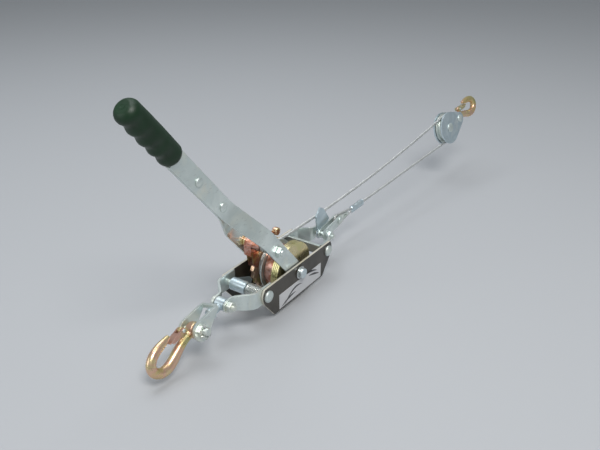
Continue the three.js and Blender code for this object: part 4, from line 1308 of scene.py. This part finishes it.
@dataclass
class Hook:
    """A forged slip hook with a spring latch."""

    where: str
    place: Matrix
    finish: Finish
    latch_finish: Finish
    pin_radius: float = 5.0
    eye_radius: float = 10.5
    thickness: float = 12.0
    line: tuple = (
        (8.0, 0.5), (17.0, -0.7), (27.0, -3.2), (37.0, -7.3), (47.0, -11.7), (57.0, -14.0),
        (67.0, -12.4), (73.6, -6.8), (75.5, -0.8), (73.6, 5.4), (68.0, 10.8), (60.0, 13.9),
        (52.0, 15.4), (44.0, 16.7), (36.0, 18.3),
    )
    widths: tuple = (11.5, 10.6, 11.8, 13.2, 14.4, 14.8, 14.4, 13.4, 13.0, 13.0, 12.8, 12.4, 11.8,
                     9.8, 5.0)
    depths: tuple = (11.0, 11.2, 11.6, 12.0, 12.0, 12.0, 12.0, 12.0, 12.0, 11.8, 11.4, 10.8, 10.0,
                     8.6, 5.4)
    latch_pivot: tuple = (17.0, 12.5)
    foot: tuple = (17.4, 0.0, 4.6)
    foot_size: tuple = (8.0, 5.0, 12.5)
    steps: int = 90

    def build(self) -> None:
        """Forge the hook and fit its latch."""
        self.forging()
        refine(f"{self.where}_latch", self.latch_finish, 0.35)
        x, z = self.latch_pivot
        deliver(headed_pin(1.5, 2.6, 1.2, 5.6), f"{self.where}_latch_pin_set", f"{self.where}_hook",
                ZINC, self.place @ shift(x, 0, z), (f"{self.where}_latch_pin",))

    def section_sizes(self) -> list[tuple]:
        """Return the shank's (width, height) radii at each step, between the given sizes."""
        sizes, last = [], len(self.widths) - 1
        for number in range(self.steps + 1):
            place = number / self.steps * last
            low = min(int(place), last - 1)
            share = place - low
            width, depth = (row[low] * (1 - share) + row[low + 1] * share
                            for row in (self.widths, self.depths))
            sizes.append((depth / 2, width / 2))
        return sizes

    def forging(self) -> None:
        """Sweep the shank and bowl, add the eye, and melt them together."""
        line = smooth_line([Vector((x, 0, z)) for x, z in self.line], self.steps)
        stations, _ = stations_along(line, sizes=self.section_sizes())
        shank = sweep(circle_section(1.0, 28), stations)
        half = self.thickness / 2
        eye = ring(self.pin_radius + 0.3, self.eye_radius, -half, half, 64, 1.6)
        lug = ring(1.7, 4.4, -2.5, 2.5, 32, 0.4)
        move_shape(lug, self.latch_pivot[0], 0, self.latch_pivot[1])
        body = fused(join(shank, eye, lug, block(self.foot_size, self.foot)), 0.55, 5)
        deliver(body, f"{self.where}_hook_forged", f"{self.where}_hook", self.finish, self.place,
                (f"{self.where}_hook",))


@dataclass
class RearChain:
    """The swivel stud, the clevis, its pin, and the rear hook."""

    place: Matrix
    pin_reach: float = 55.5
    half: float = 15.5
    pin_radius: float = 5.0
    pin_head: float = 8.0
    wire: float = 0.8

    def build(self) -> None:
        """Make the pieces between the yoke and the rear hook."""
        refine("swivel_stud", BLUE_ZINC, 0.5)
        refine("rear_clevis", ZINC, 0.7)
        place = self.place @ shift(self.pin_reach)
        radius, head, half = self.pin_radius, self.pin_head, self.half
        pin = lathe([*reversed(dome(head, 1.8, -half - 1.4, -1)), (head, -half - 0.1),
                     (radius, -half - 0.1), *thread(radius, half - 3, half + 10.4),
                     (radius - 1, half + 11), (0, half + 11)])
        deliver(pin, "clevis_pin_turned", "rear_clevis", ZINC, place, ("clevis_pin",))
        deliver(self.castle_nut(8.6, radius + 0.3, half + 0.1, half + 7), "clevis_nut_cut",
                "rear_clevis", ZINC, place, ("clevis_nut",))
        deliver(self.cotter(self.half + 8.4), "cotter_pin", "rear_clevis", SPRING, place)
        Hook("rear", place, GOLD, COPPER).build()

    def castle_nut(self, corners: float, bore: float, start: float,
                   end: float) -> bmesh.types.BMesh:
        """Stand six castle towers on a hexagon nut, with a slot between each two.

        Args:
            corners: its radius to the corners.
            bore: its bore's radius.
            start: where its first face lies.
            end: where the towers end.

        Returns:
            The nut.
        """
        low = start + (end - start) * 0.55
        nut = hex_nut(corners, bore, start, low)
        for tower in range(6):
            stud = block((2.4, end - low + 0.6, 4.6), (bore + 1.4, (low + end) / 2 - 0.3, 0))
            soften(stud, 0.4)
            turn_shape(stud, 60 * tower + 30, "Y")
            nut = join(nut, stud)
        return nut

    def cotter(self, across: float) -> bmesh.types.BMesh:
        """Bend a split pin through the clevis pin's end: an eye on one side, two legs beyond.

        Args:
            across: where its hole crosses the pin.

        Returns:
            The split pin.
        """
        long_leg = ((-5.5, 0.0, -0.5), (5.5, 0.0, -0.5), (8.6, 0.4, -1.9), (10.2, 0.2, -0.1),
                    (8.6, -0.2, 1.5), (5.5, 0.0, 0.5), (-5.5, 0.0, 0.5), (-8.2, -1.2, 2.6),
                    (-8.8, -3.6, 5.0))
        short_leg = ((-5.0, 0.0, -0.6), (-7.6, -1.0, -2.4), (-7.9, -3.2, -4.6))
        legs = []
        for points, steps in ((long_leg, 90), (short_leg, 20)):
            line = smooth_line([Vector((z, across + y, x)) for x, y, z in points], steps)
            stations, _ = stations_along(line, up=Vector((1, 0, 0)))
            legs.append(sweep(circle_section(self.wire, 12), stations))
        return join(*legs)


@dataclass
class PulleyBlock:
    """The cheek plates, sheave and hook of the running block."""

    place: Matrix
    rope: RopeStock = field(default_factory=RopeStock)
    pin_reach: float = 40.5
    pitch_radius: float = 25.0
    rim_radius: float = 28.5
    width: float = 11.0
    wall: float = 4.0
    sheave_bore: float = 6.3

    def build(self) -> None:
        """Make the block and everything on it."""
        for side in ("right", "left"):
            refine(f"block_plate_{side}", BLUE_ZINC, 0.6)
        reach = self.width / 2 + self.wall + 0.1
        deliver(headed_pin(6, 9, 3, reach), "sheave_axle_set", "block", ZINC, self.place,
                ("sheave_axle",))
        nose = self.place @ shift(self.pin_reach)
        deliver(headed_pin(5, 7.5, 3, reach), "front_hook_pin_set", "block", ZINC, nose,
                ("front_hook_pin",))
        self.sheave()
        self.rope_round()
        Hook("front", nose, GOLD, OLIVE).build()

    def sheave(self) -> None:
        """Turn the grooved wheel."""
        half, rim, bore = self.width / 2, self.rim_radius, self.sheave_bore
        groove = self.rope.diameter / 2 + 0.3
        profile = [(bore, -half), (rim, -half), (rim, 1 - half)]
        for step in range(9):
            angle = math.radians(180 * step / 8)
            depth = groove * math.sin(angle)
            profile.append((self.pitch_radius - depth + 0.4, -groove * math.cos(angle)))
        profile += [(rim, half - 1), (rim, half), (bore, half)]
        wheel = lathe(profile, 72, closed=True)
        soften(wheel, 0.3, 2, 40)
        deliver(wheel, "sheave_turned", "sheave", ZINC, self.place, ("sheave",))

    def rope_round(self) -> None:
        """Bend the rope round the sheave."""
        bent = self.rope.laid(arc(self.pitch_radius, 90, -180, 48))
        deliver(bent, "rope_on_sheave", "block", ROPE, self.place, ("cable_on_sheave",))


@dataclass
class RopeRuns:
    """Both rope runs between the frame and the block, and the anchored end."""

    axle: Matrix
    block: Matrix
    rope: RopeStock = field(default_factory=RopeStock)
    anchor: tuple = (159.0, -3.6, 9.0)
    drum_top: tuple = (16.0, 15.5, 26.25)
    sag: float = 11.0
    pitch_radius: float = 25.0
    thimble: float = 38.0
    thimble_radius: float = 7.4
    ferrule: float = 34.0
    eye_rope: float = 3.6

    def build(self) -> None:
        """Lay the runs and dress the rope's end."""
        to_axle = self.axle.inverted()
        upper_end = to_axle @ self.block @ Vector((0, 0, self.pitch_radius))
        lower_end = to_axle @ self.block @ Vector((0, 0, -self.pitch_radius))
        self.run("rope_upper_run", Vector(self.drum_top), upper_end, self.sag, "cable_run_upper")
        pin = Vector(self.anchor)
        direction = (lower_end - pin).normalized()
        start = pin + direction * (self.thimble + self.ferrule)
        self.run("rope_lower_run", start, lower_end, 0.0, "cable_run_lower")
        self.rope_end(pin, direction)

    def run(self, name: str, start: Vector, end: Vector, sag: float, node: str) -> None:
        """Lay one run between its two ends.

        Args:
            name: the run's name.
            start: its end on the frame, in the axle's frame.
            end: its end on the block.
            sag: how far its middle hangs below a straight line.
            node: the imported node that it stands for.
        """
        fine, steps = [], 60
        for step in range(steps + 1):
            part = step / steps
            point = start.lerp(end, part)
            point.z -= 4 * sag * part * (1 - part)
            fine.append(point)
        piece = deliver(self.rope.laid(fine), name, None, ROPE, self.axle, (node,))
        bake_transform(piece)

    def rope_end(self, pin: Vector, direction: Vector) -> None:
        """Make the eye round the thimble, the ferrule, the link plates and their pin.

        Args:
            pin: the anchor pin's middle, in the axle's frame.
            direction: where the lower run leaves to.
        """
        place = self.axle @ local_frame(pin, direction, ACROSS) @ Matrix.Scale(1 / MM, 4)
        for node in ("thimble", "anchor_link_right", "anchor_link_left"):
            refine(node, ZINC, 0.4)
        deliver(headed_pin(4, 6.5, 3, 5.3), "anchor_pin_set", "frame", ZINC,
                self.axle @ shift(*pin), ("anchor_pin",))
        deliver(self.eye(), "rope_eye", "frame", ROPE, place, ("cable_end_loop",))
        deliver(self.pressed_ferrule(), "ferrule_pressed", "frame", BLUE_ZINC, place, ("ferrule",))

    def eye(self) -> bmesh.types.BMesh:
        """Return the rope's eye, from the ferrule round the thimble and back."""
        bend = arc(self.thimble_radius + 0.3 + self.eye_rope / 2, 100, 160, 40)
        tail, waist = Vector((self.thimble + 1, 0, 2.0)), Vector((self.thimble * 0.62, 0, 5.2))
        back = [Vector((point.x, 0, -point.z)) for point in (waist, tail)]
        line = smooth_line([tail, waist, *bend, *back], 200)
        return RopeStock(diameter=self.eye_rope, step=1.6).laid(line)

    def pressed_ferrule(self) -> bmesh.types.BMesh:
        """Return the ferrule, with three crimps along it."""
        full, pressed, pitch = 5.4, 4.9, 9.4
        profile = [(0, 0), (4.4, 0.4), (5.3, 2.0)]
        for crimp in range(3):
            base = 4 + crimp * pitch
            profile += [(full, base), (full, base + 5.4), (pressed, base + 6.4),
                        (pressed, base + 8.4)]
        profile += [(5.3, self.ferrule - 2), (4.2, self.ferrule - 0.3), (0, self.ferrule)]
        sleeve = lathe(profile, 40)
        turn_shape(sleeve, -90, "Z")
        bmesh.ops.scale(sleeve, verts=sleeve.verts, vec=(1, 0.85, 1.1))
        move_shape(sleeve, self.thimble)
        return sleeve


# ------------------------------------------------------------------ studio
@dataclass
class Studio:
    """The floor, the soft light and the camera."""

    eye: tuple = (-0.4105, -0.4715, 0.4904)
    heading: float = 33.36
    fall: float = 26.8
    roll: float = 0.33
    lens: float = 38.9
    sky: tuple = (0.78, 0.83, 0.86, 1)
    sky_strength: float = 0.42

    def build(self) -> None:
        """Set the studio up."""
        self.floor()
        self.light("key light", (-0.5, -1.0, 1.9), 30.0, 0.8, (1.0, 0.985, 0.96))
        self.light("sky light", (0.5, 0.6, 2.3), 26.0, 1.6, (0.93, 0.97, 1.0))
        self.light("fill light", (-1.7, 0.9, 0.9), 9.0, 1.2, (0.95, 0.98, 1.0))
        world = bpy.data.worlds.new("studio")
        world.use_nodes = True
        background = world.node_tree.nodes["Background"]
        background.inputs["Color"].default_value = self.sky
        background.inputs["Strength"].default_value = self.sky_strength
        bpy.context.scene.world = world
        bpy.context.scene.view_settings.view_transform = "Standard"
        self.camera()

    def floor(self) -> None:
        """Lay a plain pale floor under the lowest point."""
        bm = bmesh.new()
        bmesh.ops.create_grid(bm, x_segments=1, y_segments=1, size=9.0)
        move_shape(bm, 0.3, 0, LOW.z - 0.002)
        mesh = bpy.data.meshes.new("floor")
        bm.to_mesh(mesh)
        bm.free()
        bench = NodeBench("pale floor")
        bench.feed(Base_Color=(0.42, 0.43, 0.45, 1), Roughness=0.9)
        mesh.materials.append(bench.material)
        floor = bpy.data.objects.new("floor", mesh)
        bpy.context.scene.collection.objects.link(floor)

    def light(self, name: str, place: Sequence[float], power: float, size: float,
              colour: tuple) -> None:
        """Hang one soft light, aimed at the middle of the winch.

        Args:
            name: the light's name.
            place: where it hangs, in metres.
            power: its watts.
            size: its side, in metres.
            colour: its tint.
        """
        data = bpy.data.lights.new(name, "AREA")
        data.energy, data.size, data.color = power, size, colour
        lamp = bpy.data.objects.new(name, data)
        lamp.location = place
        aim = (LOW + HIGH) / 2 - Vector(place)
        lamp.rotation_euler = aim.to_track_quat("-Z", "Y").to_euler()
        bpy.context.scene.collection.objects.link(lamp)

    def camera(self) -> None:
        """Stand the camera at its place."""
        data = bpy.data.cameras.new("camera")
        data.lens, data.sensor_width = self.lens, 36.0
        data.clip_start, data.clip_end = 0.02, 50.0
        camera = bpy.data.objects.new("camera", data)
        camera.location = self.eye
        level = Euler((math.radians(90 - self.fall), 0, math.radians(self.heading - 90)), "XYZ")
        rolled = level.to_matrix() @ Matrix.Rotation(math.radians(self.roll), 3, "Z")
        camera.rotation_euler = rolled.to_euler()
        bpy.context.scene.collection.objects.link(camera)
        bpy.context.scene.camera = camera


def main() -> None:
    """Build the winch, piece by piece, and the studio round it."""
    logging.basicConfig(level=logging.INFO, format="%(name)s: %(message)s")
    places = Station.from_record()
    rope = RopeStock()
    for assembly in (
        WinchFrame(places.axle),
        Drum(places.axle, rope),
        Handle(places.handle),
        Pawls(places.axle),
        RearChain(places.rear),
        PulleyBlock(places.block, rope),
        RopeRuns(places.axle, places.block, rope),
        Studio(),
    ):
        assembly.build()


if __name__ == "__main__":
    main()
